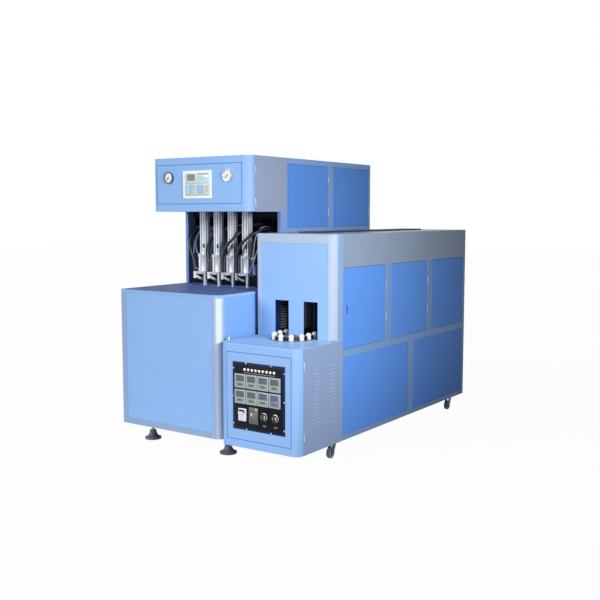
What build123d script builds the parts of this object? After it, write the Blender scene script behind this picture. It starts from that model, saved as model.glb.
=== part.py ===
from build123d import *
import os
from math import atan2, cos, degrees, hypot, pi, radians, sin, tan

# Semi-automatic stretch blow moulding machine: a blow unit on levelling feet and
# an infrared preform heater on casters beside it. Millimetres, +Z up, front at -Y.
# Sizes are laid out from the blow unit's front left corner on the floor, and the
# finished pieces are moved so that the origin is under the middle of the whole set.

os.makedirs("parts", exist_ok=True)

# Clearances and sheet thicknesses
RUN_GAP = 0.3           # between surfaces that slide or turn past each other
DOOR_GAP = 2.0          # round a door in its frame
SHEET = 2.0             # fixed sheet-metal panels
DOOR_SHEET = 3.0        # skin of the doors and of the head housing
DOOR_LIP = 1.0          # flat edge left behind a door's rounded side
PANEL_SETBACK = 2.0     # fixed panels lie this much behind the frame's face
CUT = 1.0               # a cutting body runs this far past the face it opens

# Blow unit: overall form
BLOW_W = 871.0
BLOW_DEPTH = 1878.0
BASE_LIFT = 123.0
TABLE_TOP = 1054.0
TABLE_T = 20.0
HEAD_RISE = 526.0       # from the table up to the head's floor
HEAD_H = 370.0
HEAD_FRONT = 317.0
HEAD_ROUND = 55.0
TOWER_FRONT = 662.0

# Blow unit: frame members
POST_W = 45.0
BASE_ROUND = 44.0
BASE_CORNER_W = 54.0
RAIL_H = 39.0
RAIL_T = 40.0
TABLE_RAIL_H = 30.0
TOWER_POST_T = 25.0
TOWER_POST_D = 82.0
TOWER_MID_POST_W = 79.0
TOWER_REAR_POST_D = 29.0
TOWER_DOOR_CLEAR = 31.0  # the tower's doors swing this far above the heater's roof
TOWER_RAIL_H = 40.0
BASE_MID_POST_Y = 900.0
BASE_MID_POST_D = 80.0
FOOT_BEAM_W = 50.0

# Levelling feet
FOOT_R = 57.0
FOOT_INSET_X = (144.0, 49.0)
FOOT_INSET_Y = (140.0, 110.0)
FOOT_STEM_R = 10.0
FOOT_NECK_R = 24.0
FOOT_RIM_H = 12.0
FOOT_WAIST = (35.0, 25.0)
FOOT_BELL_H = 46.0
FOOT_NUT_H = 14.0

# Blow stations
STATION_COUNT = 4
STATION_PITCH = 129.0
STATION_Y = 600.0
NOZZLE_TRAVEL = 35.0
STRETCH_TRAVEL = 270.0
BLOCK_LIFT = 81.0       # seal cylinders above the table
BLOCK_H = 138.0
BLOCK_FLANGE = 18.0
LOWER_FLANGE = (84.0, 100.0)
UPPER_FLANGE = (74.0, 74.0)
BARREL_R = 31.0
TIE_ROD_R = 4.0
TIE_ROD_OFFSET = 28.0
LEG_SIZE = 16.0
LEG_OFFSET = (36.0, 44.0)
CYLINDER_W = 50.0
CYLINDER_BORE_R = 19.0
CYLINDER_RISE = 110.0   # stretch cylinders above the head's floor
CYLINDER_CAP = 12.0
CYLINDER_FLANGE = (68.0, 10.0)
PROFILE_SLOT = (6.0, 3.0)
PROFILE_SLOT_OFFSET = 12.0
STEM_R = 13.0
STEM_INSET = 23.0
ROD_R = 5.0
NOZZLE_R = 22.0
NOZZLE_GAP = 4.0
NOZZLE_H = 46.0
RING_R = 18.0
RING_H = 10.0
TIP_R = 9.0
TIP_H = 13.0
TIP_SETBACK = 2.0
PISTON_H = 20.0
PISTON_DROP = 50.0
ELBOW_OFFSET = (-56.0, -50.0)
ELBOW_DROP = 23.0
ELBOW_R = 8.0
ELBOW_H = 40.0

# Air hoses, from each nozzle's elbow to the valve block in the tower
HOSE_R = 10.0
HOSE_MID = 435.5        # line midway between the stations, from which the hoses are laid out
PORT_X = (390.0, 480.0, 690.0, 780.0)
PORT_Y = 1050.0
PORT_Z = 1425.0
PORT_R = 13.0
PORT_L = 20.0
PORT_END = 40.0         # valve block past its outer ports
HOSE_ROUTES = (
    ((186, 550, 1222), (150, 562, 1290), (100, 592, 1350), (78, 645, 1410), (96, 715, 1456),
     (160, 780, 1480), (245, 828, 1478), (330, 882, 1455), (390, 970, 1425)),
    ((315, 550, 1222), (302, 561, 1290), (290, 592, 1352), (287, 645, 1412), (300, 712, 1460),
     (340, 784, 1484), (395, 850, 1480), (446, 912, 1456), (480, 980, 1425)),
    ((444, 550, 1215), (452, 548, 1282), (484, 546, 1338), (530, 546, 1382), (570, 572, 1424),
     (584, 625, 1462), (600, 695, 1488), (622, 775, 1494), (655, 850, 1484), (678, 925, 1460),
     (690, 985, 1425)),
    ((573, 550, 1215), (580, 548, 1280), (606, 545, 1340), (650, 545, 1386), (698, 566, 1422),
     (728, 616, 1450), (740, 682, 1466), (750, 760, 1468), (762, 840, 1460), (774, 915, 1444),
     (780, 985, 1425)),
)

# Valve panel in the tower, and the air filter by the last station
VALVE_PANEL_Y = 1120.0
VALVE_PANEL_DROP = 50.0
VALVE_BLOCK_H = 50.0
VALVE_COUNT = 8
VALVE_SIZE = (22.0, 36.0, 58.0)
FILTER_OUT = 36.0       # filter's middle beyond the last cylinder's flange
FILTER_FORWARD = 12.0
FILTER_BOWL_R = 15.0
FILTER_BOWL_H = 57.0
FILTER_DRAIN = (10.0, 10.0)
FILTER_HEAD = (40.0, 40.0, 40.0)
FILTER_KNOB_H = 30.0
BRACKET_T = 4.0
BRACKET_W = 28.0

# Moulds and their clamp, under the table
MOULD_DEPTH = 90.0
MOULD_H = 264.0
MOULD_END = 60.0
MOULD_TRAVEL = 70.0
MOULD_PARTING = 0.3
SLOT_HALF_W = 30.0
BOTTLE_BODY_R = 33.0
BOTTLE_NECK_R = 15.5
BOTTLE_NECK_H = 20.0
BOTTLE_SHOULDER_H = 45.0
BOTTLE_H = 245.0
BOTTLE_FOOT = 6.0
PLATEN_T = 30.0
PLATEN_END = 62.0
PLATEN_DROP = 12.0
PLATEN_H = 302.0
CLAMP_REACH = 300.0     # clamp plates in front of and behind the stations
CLAMP_PLATE_T = 30.0
CLAMP_INSET = 60.0
CLAMP_BED_DROP = 334.0
CLAMP_BED_H = 60.0
CLAMP_BED_W = 40.0
TIE_BAR_R = 18.0
TIE_BAR_DROP = (269.0, 49.0)
TIE_BAR_OUT = 32.0
CLAMP_CYL_R = 55.0
CLAMP_CYL_L = 180.0
CLAMP_ROD_R = 18.0
CLAMP_ROD_REACH = 90.0
CLAMP_CUSHION = 5.0

# Head instruments
HEAD_GROOVE_INSET = (48.0, 63.0, 53.0, 49.0)
GROOVE = (3.0, 1.5)
PANEL_SIZE = (255.0, 188.0)
PANEL_SHIFT = -12.0
PANEL_DROP = 93.0
PANEL_T = 6.0
PANEL_RIM = 8.0
PANEL_RECESS = 1.5
GAUGE_INSET = (164.0, 179.0)
GAUGE_DROP = (135.0, 130.0)
GAUGE_R = 41.0
GAUGE_FACE_R = 35.0
GAUGE_PROUD = 12.0
GAUGE_RECESS = 5.0
GAUGE_BACK = 24.0
NEEDLE_L = 27.0
NEEDLE_TAIL = 8.0
NEEDLE_W = 2.4
NEEDLE_T = 1.2
NEEDLE_HUB_R = 4.0
NEEDLE_HUB_H = 3.0

# Heater: overall form
UNIT_GAP = 33.0
HEATER_W = 602.0
BOX_FRONT = -39.0
BOX_ROUND = 52.0
BOX_TOP_ROUND = 10.0
BOX_TOP = 769.0
CAB_FRONT = 359.0
CAB_ROUND = 50.0
CAB_BACK = 2304.0
HEATER_LIFT = 115.0
HEATER_TOP = 1439.0
BAND_H = 214.0

# Heater: frame members and doors
FRONT_STRIP_H = 60.0
LEFT_STRIP_W = 30.0
RIGHT_STRIP_W = 53.0
POST_DEPTH = 40.0
SIDE_STRIP_D = 101.0
REAR_POST_D = 44.0
SIDE_POST_W = 89.0
POST_GROOVE = (6.0, 3.0, 52.0)  # width, depth and place of the line between a post's two tubes
DOOR_COUNT = 3
DOOR_DEPTH = 20.0
MID_RAIL_DROP = 65.0
MID_RAIL_H = 50.0
BOTTOM_RAIL_H = 35.0
LOWER_POST_W = 79.0
LOWER_POST_SHIFT = 24.5
CROSS_RAIL_H = 40.0
DECK_POST_W = 40.0
CASTER_SEAT_W = 80.0
PULL_DROP = 5.5         # pulls below the middle of the doors
PULL_SIZE = (24.0, 62.0)
PULL_RIM = 5.0
PULL_DEPTH = 10.0
PULL_PROUD = 2.0
PULL_INSET = 46.0

# Hinges: sizes, and for each kind of door their spacing and how far they sit off the middle
HINGE_R = 4.0
HINGE_L = 46.0
HINGE_LEAF = (16.0, 2.0)
HEAD_HINGES = (212.0, -17.0)
TOWER_HINGES = (225.0, 0.0)
HEATER_HINGES = (215.0, 10.0)
BOX_HINGES = (430.0, 3.0)

# Heater: front slots, deck, holders and chain
LANE_X = 112.0
LANE_SHIFT = 6.0
SLOT_W = 108.0
SLOT_H = 239.0
DECK_T = 6.0
DECK_PAST = 20.0
WHEEL_Y = 305.0
WHEEL_HOLDERS = 10      # holders round a full wheel; the wheel has twice as many notches
REAR_TURN_SPACE = 185.0
TRACK_W = 62.0
TRACK_T = 2.0
LINK_T = 6.0
LINK_H = 22.0
HOLDER_R = 15.5
HOLDER_H = 33.0
HOLDER_TOP_R = 11.0
HOLDER_TOP_H = 8.0
WHEEL_T = 10.0
WHEEL_LIFT = 2.5
WHEEL_TIP = 0.5
NOTCH_R = 20.0
WHEEL_HUB_R = 32.0
SHAFT_R = 12.0
SHAFT_DROP = 60.0
BEARING_R = 29.0
BEARING_FLOOR = 5.0
MOTOR_R = 62.0
MOTOR_L = 190.0
GEARBOX = (120.0, 120.0, 90.0)

# Heater: lamps and top vents
LAMP_ROWS = 9
LAMP_PITCH = 21.0
LAMP_R = 5.5
LAMP_FIRST = 65.0
LAMP_OFFSET = 50.0
REFLECTOR_OFFSET = 62.0
REFLECTOR_T = 3.0
RACK_H = 270.0
RACK_END_T = 5.0
RACK_INSET = 12.0
RACK_WHEEL_GAP = 20.0
VENT_ENDS = (115.0, 192.0)      # before the first hood and behind the last
VENT_GAP = 20.0
VENT_SHARES = (0.384, 0.371, 0.245)
VENT_HALF_W = 75.0
VENT_SHIFT = -50.0
VENT_H = 10.0
VENT_FLOOR = 4.0
VENT_SLOTS = 9
VENT_SLOT_W = 8.0
VENT_RIM = 15.0

# Control door and its instruments; places on the plate are from its top left corner
BOX_GROOVE_INSET = (58.0, 51.0, 50.0, 55.0)
PLATE_SIZE = (399.0, 424.0)
PLATE_SHIFT = (6.5, 2.0)
PLATE_T = 3.0
METER_COLS = 4
METER_ROWS = 2
METER_FIRST = (20.0, 73.0)
METER_PITCH = (88.0, 98.0)
METER_SIZE = (84.0, 88.0)
METER_PROUD = 8.0
METER_RIM = 7.0
METER_RECESS = 2.0
BREAKER_FIRST = (46.0, 288.0)
BREAKER_SIZE = (62.0, 78.0)
BREAKER_PROUD = 14.0
TOGGLE_INSET = 16.0
TOGGLE_RISE = 13.0
TOGGLE_R = 7.0
TOGGLE_REACH = 9.0
TOGGLE_T = 8.0
SWITCH_FIRST = (130.0, 275.0)
SWITCH_SIZE = (69.0, 101.0)
SWITCH_PROUD = 6.0
KNOB_FIRST = ((242.0, 323.0), (328.0, 322.0))
KNOB_R = 22.0
KNOB_L = 22.0
KNOB_SKIRT = 10.0
KNOB_GRIP = (9.0, 40.0)

# Louvres in the control box's right side: how far behind the door, and their heights
LOUVRE_BEHIND = ((96.0, 175.0), (275.0, 361.0))
LOUVRE_SPAN = 354.0
LOUVRE_SHIFT = 3.0
LOUVRE_ROWS = 16
LOUVRE_H = 11.0
LOUVRE_OUT = 4.0
LOUVRE_END = 2.0
LOUVRE_SLIT = 3.0

# Casters
CASTER_INSET = 66.0
CASTER_END = (93.0, 118.0)
CASTER_TRAIL = 34.0
WHEEL_R = 36.0
WHEEL_W = 24.0
WHEEL_CHAMFER = 3.0
AXLE_R = 5.0
FORK_T = 4.0
FORK_W = 34.0
FORK_HEEL = 8.0
CHEEK_HALF = 12.0
CHEEK_RISE = 6.0
CHEEK_DROP = 12.0
CASTER_PLATE = (78.0, 62.0, 4.0)
SWIVEL_R = 24.0
SWIVEL_H = 10.0


def spaced(low, high, spacing, shift):
    """Two heights a given distance apart, about the middle of a door."""
    middle = (low + high) / 2 + shift
    return middle - spacing / 2, middle + spacing / 2


# Blow unit: places that follow from the sizes above
HEAD_BOTTOM = TABLE_TOP + HEAD_RISE
TOTAL_H = HEAD_BOTTOM + HEAD_H
MOULD_TOP = TABLE_TOP - TABLE_T
HEAD_BACK = HEAD_FRONT + HEAD_ROUND
HOUSING_BACK = TOWER_FRONT + TOWER_POST_D
TOWER_LAST = BLOW_DEPTH - TOWER_REAR_POST_D
TOWER_MIDDLE = (HOUSING_BACK + TOWER_LAST) / 2
TOWER_MID_POST = (TOWER_MIDDLE - TOWER_MID_POST_W / 2, TOWER_MIDDLE + TOWER_MID_POST_W / 2)
TOWER_DOOR_Y = ((HOUSING_BACK, TOWER_MID_POST[0]), (TOWER_MID_POST[1], TOWER_LAST))
TOWER_DOOR_BOTTOM = HEATER_TOP + TOWER_DOOR_CLEAR
BASE_MID_POST = (BASE_MID_POST_Y, BASE_MID_POST_Y + BASE_MID_POST_D)
FOOT_X = (FOOT_INSET_X[0], BLOW_W - FOOT_INSET_X[1])
FOOT_Y = (FOOT_INSET_Y[0], BLOW_DEPTH - FOOT_INSET_Y[1])
STATION_X = [BLOW_W / 2 + (i - (STATION_COUNT - 1) / 2) * STATION_PITCH for i in range(STATION_COUNT)]
BLOCK_BOTTOM = TABLE_TOP + BLOCK_LIFT
BLOCK_TOP = BLOCK_BOTTOM + BLOCK_H
CYLINDER_TOP = HEAD_BOTTOM + CYLINDER_RISE
NOZZLE_TOP = BLOCK_BOTTOM - NOZZLE_GAP
NOZZLE_BOTTOM = NOZZLE_TOP - NOZZLE_H
STEM_TOP = BLOCK_TOP - STEM_INSET
PISTON_Z = CYLINDER_TOP - PISTON_DROP
ELBOW_Z = BLOCK_BOTTOM - ELBOW_DROP
ELBOW_TOP = ELBOW_Z + ELBOW_H
HOSE_SHIFT = BLOW_W / 2 - HOSE_MID
VALVE_BLOCK = (PORT_X[0] + HOSE_SHIFT - PORT_END, PORT_X[-1] + HOSE_SHIFT + PORT_END)
VALVE_PANEL_TOP = TOTAL_H - VALVE_PANEL_DROP
FILTER_X = STATION_X[-1] + UPPER_FLANGE[0] / 2 + FILTER_OUT
FILTER_Y = STATION_Y - FILTER_FORWARD
MOULD_X = (STATION_X[0] - MOULD_END, STATION_X[-1] + MOULD_END)
PLATEN_X = (MOULD_X[0] - PLATEN_END, MOULD_X[1] + PLATEN_END)
PLATEN_Z = (MOULD_TOP - PLATEN_DROP - PLATEN_H, MOULD_TOP - PLATEN_DROP)
CLAMP_PLATE_Y = (STATION_Y - CLAMP_REACH, STATION_Y + CLAMP_REACH)
CLAMP_PLATE_X = (CLAMP_INSET, BLOW_W - CLAMP_INSET)
CLAMP_BED_Z = MOULD_TOP - CLAMP_BED_DROP
TIE_BAR_X = (MOULD_X[0] - TIE_BAR_OUT, MOULD_X[1] + TIE_BAR_OUT)
TIE_BAR_Z = (MOULD_TOP - TIE_BAR_DROP[0], MOULD_TOP - TIE_BAR_DROP[1])
CLAMP_Z = (TIE_BAR_Z[0] + TIE_BAR_Z[1]) / 2
HEAD_GROOVE = ((HEAD_GROOVE_INSET[0], BLOW_W - HEAD_GROOVE_INSET[1]),
               (HEAD_BOTTOM + HEAD_GROOVE_INSET[2], TOTAL_H - HEAD_GROOVE_INSET[3]))
PANEL_MID = BLOW_W / 2 + PANEL_SHIFT
PANEL_X = (PANEL_MID - PANEL_SIZE[0] / 2, PANEL_MID + PANEL_SIZE[0] / 2)
PANEL_Z = (TOTAL_H - PANEL_DROP - PANEL_SIZE[1], TOTAL_H - PANEL_DROP)
GAUGE_AT = ((GAUGE_INSET[0], TOTAL_H - GAUGE_DROP[0]), (BLOW_W - GAUGE_INSET[1], TOTAL_H - GAUGE_DROP[1]))
HINGE_OUT = HINGE_R + RUN_GAP
HEAD_HINGE_Z = spaced(HEAD_BOTTOM, TOTAL_H, *HEAD_HINGES)
TOWER_HINGE_Z = spaced(TOWER_DOOR_BOTTOM, TOTAL_H - TOWER_RAIL_H, *TOWER_HINGES)

# Heater: places that follow from the sizes above
HEATER_X0 = BLOW_W + UNIT_GAP
HEATER_X1 = HEATER_X0 + HEATER_W
HEATER_MID = (HEATER_X0 + HEATER_X1) / 2
BAND_BOTTOM = HEATER_TOP - BAND_H
BOX_DOOR_BACK = BOX_FRONT + BOX_ROUND
BOX_MIDDLE = (HEATER_LIFT + BOX_TOP) / 2
SIDE_FIRST = CAB_FRONT + SIDE_STRIP_D
SIDE_LAST = CAB_BACK - REAR_POST_D
MID_RAIL = (BOX_TOP - MID_RAIL_DROP - MID_RAIL_H, BOX_TOP - MID_RAIL_DROP)
LOWER_MIDDLE = (SIDE_FIRST + SIDE_LAST) / 2 + LOWER_POST_SHIFT
LOWER_POST = (LOWER_MIDDLE - LOWER_POST_W / 2, LOWER_MIDDLE + LOWER_POST_W / 2)
DOOR_W = (SIDE_LAST - SIDE_FIRST - (DOOR_COUNT - 1) * SIDE_POST_W) / DOOR_COUNT
DOOR_Y = [(SIDE_FIRST + i * (DOOR_W + SIDE_POST_W), SIDE_FIRST + i * (DOOR_W + SIDE_POST_W) + DOOR_W)
          for i in range(DOOR_COUNT)]
HEATER_HINGE_Z = spaced(MID_RAIL[1], BAND_BOTTOM, *HEATER_HINGES)
BOX_HINGE_Z = spaced(HEATER_LIFT, BOX_TOP, *BOX_HINGES)
PULL_Z = (MID_RAIL[1] + BAND_BOTTOM) / 2 - PULL_DROP
LANE_MID = HEATER_MID + LANE_SHIFT
LINK_PITCH = 2 * LANE_X * sin(pi / WHEEL_HOLDERS)
LANE_LINKS = int((CAB_BACK - REAR_TURN_SPACE - WHEEL_Y) / LINK_PITCH)
REAR_WHEEL_Y = WHEEL_Y + LANE_LINKS * LINK_PITCH
TRACK_TOP = BOX_TOP + TRACK_T
SLOT_TOP = BOX_TOP + SLOT_H
BOX_GROOVE = ((HEATER_X0 + BOX_GROOVE_INSET[0], HEATER_X1 - BOX_GROOVE_INSET[1]),
              (HEATER_LIFT + BOX_GROOVE_INSET[2], BOX_TOP - BOX_GROOVE_INSET[3]))
PLATE_MID = (HEATER_MID + PLATE_SHIFT[0], BOX_MIDDLE + PLATE_SHIFT[1])
PLATE_X = (PLATE_MID[0] - PLATE_SIZE[0] / 2, PLATE_MID[0] + PLATE_SIZE[0] / 2)
PLATE_Z = (PLATE_MID[1] - PLATE_SIZE[1] / 2, PLATE_MID[1] + PLATE_SIZE[1] / 2)
BREAKER_X = (PLATE_X[0] + BREAKER_FIRST[0], PLATE_X[0] + BREAKER_FIRST[0] + BREAKER_SIZE[0])
BREAKER_Z = (PLATE_Z[1] - BREAKER_FIRST[1] - BREAKER_SIZE[1], PLATE_Z[1] - BREAKER_FIRST[1])
TOGGLE_X = (BREAKER_X[0] + TOGGLE_INSET, BREAKER_X[1] - TOGGLE_INSET)
TOGGLE_Z = (BREAKER_Z[0] + BREAKER_Z[1]) / 2 + TOGGLE_RISE
SWITCH_X = (PLATE_X[0] + SWITCH_FIRST[0], PLATE_X[0] + SWITCH_FIRST[0] + SWITCH_SIZE[0])
SWITCH_Z = (PLATE_Z[1] - SWITCH_FIRST[1] - SWITCH_SIZE[1], PLATE_Z[1] - SWITCH_FIRST[1])
KNOB_AT = [(PLATE_X[0] + across, PLATE_Z[1] - down) for across, down in KNOB_FIRST]
LOUVRE_Y = [(BOX_DOOR_BACK + near, BOX_DOOR_BACK + far) for near, far in LOUVRE_BEHIND]
LOUVRE_Z = spaced(HEATER_LIFT, BOX_TOP, LOUVRE_SPAN, LOUVRE_SHIFT)
VENT_X = (HEATER_MID + VENT_SHIFT - VENT_HALF_W, HEATER_MID + VENT_SHIFT + VENT_HALF_W)
CASTER_X = (HEATER_X0 + CASTER_INSET, HEATER_X1 - CASTER_INSET)
CASTER_Y = (CAB_FRONT + CASTER_END[0], CAB_BACK - CASTER_END[1])


def block(x, y, z):
    """A rectangular block between the low and high values of each axis."""
    centre = Pos((x[0] + x[1]) / 2, (y[0] + y[1]) / 2, (z[0] + z[1]) / 2)
    return centre * Box(x[1] - x[0], y[1] - y[0], z[1] - z[0])


def upright(x, y, z, radius):
    """A round bar standing between two heights."""
    return Pos(x, y, (z[0] + z[1]) / 2) * Cylinder(radius, z[1] - z[0])


def bar_along_y(x, y, z, radius):
    """A round bar lying front to back."""
    return Pos(x, (y[0] + y[1]) / 2, z) * Rot(90, 0, 0) * Cylinder(radius, y[1] - y[0])


def bar_along_x(x, y, z, radius):
    """A round bar lying left to right."""
    return Pos((x[0] + x[1]) / 2, y, z) * Rot(0, 90, 0) * Cylinder(radius, x[1] - x[0])


def pan(x, y, z, skin, open_low_x):
    """A shallow folded sheet door or panel, open towards the inside of the machine."""
    outer = block(x, y, z)
    inner_x = (x[0] - skin, x[1] - skin) if open_low_x else (x[0] + skin, x[1] + skin)
    inner = block(inner_x, (y[0] + skin, y[1] - skin), (z[0] + skin, z[1] - skin))
    return outer - inner


def bullnose(x, y, z, radius):
    """A block whose two front upright edges are rounded."""
    solid = block(x, y, z)
    front = solid.edges().filter_by(Axis.Z).group_by(Axis.Y)[0]
    return fillet(front, radius)


def round_over(solid, radius):
    """The same solid with its front top edge rounded, bends and all."""
    top = solid.edges().group_by(Axis.Z)[-1]
    back = top.group_by(Axis.Y)[-1]
    return fillet([edge for edge in top if edge not in back], radius)


def bullnose_door(x, y, z, radius, groove, top_round=0.0):
    """A deep door pan with rounded sides and a seam line round its middle."""
    round_outside = radius - DOOR_LIP
    round_inside = round_outside - DOOR_SHEET
    outer = bullnose(x, y, z, round_outside)
    if top_round:
        outer = round_over(outer, top_round)
    inner_x = (x[0] + DOOR_SHEET, x[1] - DOOR_SHEET)
    inner_z = (z[0] + DOOR_SHEET, z[1] - DOOR_SHEET)
    inner = bullnose(inner_x, (y[0] + DOOR_SHEET, y[1] + DOOR_SHEET), inner_z, round_inside)
    return outer - inner - groove_ring(groove, y[0])


def groove_ring(outline, face):
    """The material taken away by a rectangular seam line in a front face."""
    x, z = outline
    width, depth = GROOVE
    y = (face - CUT, face + depth)
    outer = block(x, y, z)
    inner = block((x[0] + width, x[1] - width), y, (z[0] + width, z[1] - width))
    return outer - inner


def hinge_knuckles(x, y, heights, side):
    """The moving halves of a door's hinges: a barrel on a leaf, at each height."""
    leaf_w, leaf_t = HINGE_LEAF
    pieces = []
    for z in heights:
        span = (z, z + HINGE_L / 2 - RUN_GAP)
        pieces.append(upright(x, y, span, HINGE_R))
        face = x - side * HINGE_OUT
        leaf_x = sorted((face, face + side * leaf_t))
        pieces.append(block(leaf_x, (y - leaf_w, y), span))
    return pieces


def hinge_seats(x, y, heights, side):
    """The fixed halves of the same hinges, on the post behind the door."""
    leaf_w, leaf_t = HINGE_LEAF
    pieces = []
    for z in heights:
        span = (z - HINGE_L / 2, z)
        pieces.append(upright(x, y, span, HINGE_R))
        face = x - side * HINGE_OUT
        leaf_x = sorted((face, face + side * leaf_t))
        pieces.append(block(leaf_x, (y, y + leaf_w), span))
    return pieces


def fuse(pieces):
    """All the pieces as one solid."""
    return pieces[0].fuse(*pieces[1:]).clean()


def group(pieces):
    """Pieces of one kind kept as separate solids in one node."""
    return Compound(children=[solid for piece in pieces for solid in piece.solids()])


def blow_frame():
    """Welded frame of the base, with the bed that carries the mould clamp."""
    base_z = (BASE_LIFT, MOULD_TOP)
    rail_z = (BASE_LIFT, BASE_LIFT + RAIL_H)
    under_table = (MOULD_TOP - TABLE_RAIL_H, MOULD_TOP)
    right = BLOW_W
    set_in = PANEL_SETBACK + SHEET
    corner = block((right - BASE_CORNER_W, right), (0, BASE_CORNER_W), base_z)
    edge = corner.edges().filter_by(Axis.Z).group_by(Axis.Y)[0].sort_by(Axis.X)[-1]
    pieces = [fillet(edge, BASE_ROUND)]
    pieces.append(block((0, POST_W), (0, POST_W), base_z))
    rear_y = (TOWER_LAST, BLOW_DEPTH)
    pieces.append(block((0, POST_W), rear_y, base_z))
    pieces.append(block((right - POST_W, right), rear_y, base_z))
    pieces.append(block((POST_W, right - BASE_CORNER_W), (0, RAIL_T), rail_z))
    pieces.append(block((POST_W, right - POST_W), rear_y, rail_z))
    pieces.append(block((POST_W, right - POST_W), (TOWER_LAST, BLOW_DEPTH - set_in), under_table))
    pieces.append(block((POST_W, right - BASE_CORNER_W), (set_in, RAIL_T), under_table))
    for side in (0, 1):
        outer = right if side else 0
        sign = -1 if side else 1
        x = sorted((outer, outer + sign * RAIL_T))
        inner_x = sorted((outer + sign * set_in, outer + sign * RAIL_T))
        first = BASE_CORNER_W if side else POST_W
        pieces.append(block(x, (first, TOWER_LAST), rail_z))
        pieces.append(block(inner_x, (first, TOWER_LAST), under_table))
        pieces.append(block(x, BASE_MID_POST, (rail_z[1], MOULD_TOP)))
    for y in FOOT_Y:
        beam_y = (y - FOOT_BEAM_W / 2, y + FOOT_BEAM_W / 2)
        pieces.append(block((RAIL_T, right - RAIL_T), beam_y, rail_z))
    bed_low = CLAMP_BED_Z - CLAMP_BED_H
    for x0 in (CLAMP_PLATE_X[0], CLAMP_PLATE_X[1] - CLAMP_BED_W):
        bed_x = (x0, x0 + CLAMP_BED_W)
        pieces.append(block(bed_x, CLAMP_PLATE_Y, (bed_low, CLAMP_BED_Z)))
        for y0 in (CLAMP_PLATE_Y[0], CLAMP_PLATE_Y[1] - FOOT_BEAM_W):
            leg_y = (y0, y0 + FOOT_BEAM_W)
            pieces.append(block(bed_x, leg_y, (rail_z[1], bed_low)))
    for y0 in (CLAMP_PLATE_Y[0], CLAMP_PLATE_Y[1] - FOOT_BEAM_W):
        pieces.append(block((RAIL_T, right - RAIL_T), (y0, y0 + FOOT_BEAM_W), rail_z))
    return fuse(pieces)


def tower_frame():
    """Welded frame of the tower, on the base and the table: it carries the head."""
    right = BLOW_W
    top_z = (TOTAL_H - TOWER_RAIL_H, TOTAL_H - SHEET)
    pieces = []
    for side in (0, 1):
        outer = right if side else 0
        sign = -1 if side else 1
        post_x = sorted((outer, outer + sign * TOWER_POST_T))
        rear_x = sorted((outer, outer + sign * POST_W))
        pieces.append(block(rear_x, (TOWER_LAST, BLOW_DEPTH), (MOULD_TOP, top_z[1])))
        pieces.append(block(post_x, (TOWER_FRONT, HOUSING_BACK), (TABLE_TOP, HEAD_BOTTOM)))
        pieces.append(block(post_x, (HOUSING_BACK, TOWER_LAST), (MOULD_TOP, TOWER_DOOR_BOTTOM)))
        pieces.append(block(post_x, (HOUSING_BACK, TOWER_LAST), top_z))
        pieces.append(block(post_x, TOWER_MID_POST, (TOWER_DOOR_BOTTOM, top_z[0])))
    head_rail = (HOUSING_BACK - TOWER_POST_T, HOUSING_BACK)
    pieces.append(block((TOWER_POST_T, right - TOWER_POST_T), head_rail, (HEAD_BOTTOM - RAIL_T, HEAD_BOTTOM)))
    for _, y1 in TOWER_DOOR_Y:
        pieces += hinge_seats(right + HINGE_OUT, y1 + DOOR_GAP / 2, TOWER_HINGE_Z, 1)
    return fuse(pieces)


def base_front_panel():
    """Blue sheet that closes the front of the base."""
    x = (POST_W + RUN_GAP, BLOW_W - BASE_CORNER_W - RUN_GAP)
    z = (BASE_LIFT + RAIL_H + RUN_GAP, MOULD_TOP)
    return block(x, (PANEL_SETBACK, PANEL_SETBACK + SHEET), z)


def blow_fixed_panels():
    """Fixed sheets of the blow unit: base sides, left tower side, rear, floor and roof."""
    pieces = []
    right = BLOW_W
    last = TOWER_LAST
    low = BASE_LIFT + RAIL_H + RUN_GAP
    for side in (0, 1):
        face = right - PANEL_SETBACK if side else PANEL_SETBACK
        sign = -1 if side else 1
        x = sorted((face, face + sign * SHEET))
        first = BASE_CORNER_W if side else POST_W
        pieces.append(block(x, (first + RUN_GAP, BASE_MID_POST[0] - RUN_GAP), (low, MOULD_TOP - RUN_GAP)))
        pieces.append(block(x, (BASE_MID_POST[1] + RUN_GAP, last - RUN_GAP), (low, MOULD_TOP - RUN_GAP)))
    left_x = (PANEL_SETBACK, PANEL_SETBACK + SHEET)
    for y0, y1 in TOWER_DOOR_Y:
        z = (TOWER_DOOR_BOTTOM + RUN_GAP, TOTAL_H - TOWER_RAIL_H - RUN_GAP)
        pieces.append(block(left_x, (y0 + RUN_GAP, y1 - RUN_GAP), z))
    inner_x = (POST_W + RUN_GAP, right - POST_W - RUN_GAP)
    rear_y = (BLOW_DEPTH - PANEL_SETBACK - SHEET, BLOW_DEPTH - PANEL_SETBACK)
    pieces.append(block(inner_x, rear_y, (low, TOTAL_H - SHEET - RUN_GAP)))
    floor_x = (TOWER_POST_T + RUN_GAP, right - TOWER_POST_T - RUN_GAP)
    floor_y = (HOUSING_BACK + RUN_GAP, last - RUN_GAP)
    pieces.append(block(floor_x, floor_y, (TABLE_TOP - SHEET, TABLE_TOP)))
    pieces.append(block((0, right), (HOUSING_BACK + RUN_GAP, BLOW_DEPTH), (TOTAL_H - SHEET, TOTAL_H)))
    return group(pieces)


def base_table():
    """Thick top plate with the slot through which the preforms reach the moulds."""
    plate = block((0, BLOW_W), (0, HOUSING_BACK), (MOULD_TOP, TABLE_TOP))
    edge = plate.edges().filter_by(Axis.Z).group_by(Axis.Y)[0].sort_by(Axis.X)[-1]
    plate = fillet(edge, BASE_ROUND)
    slot_y = (STATION_Y - SLOT_HALF_W, STATION_Y + SLOT_HALF_W)
    return plate - block(MOULD_X, slot_y, (MOULD_TOP - CUT, TABLE_TOP + CUT))


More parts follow.
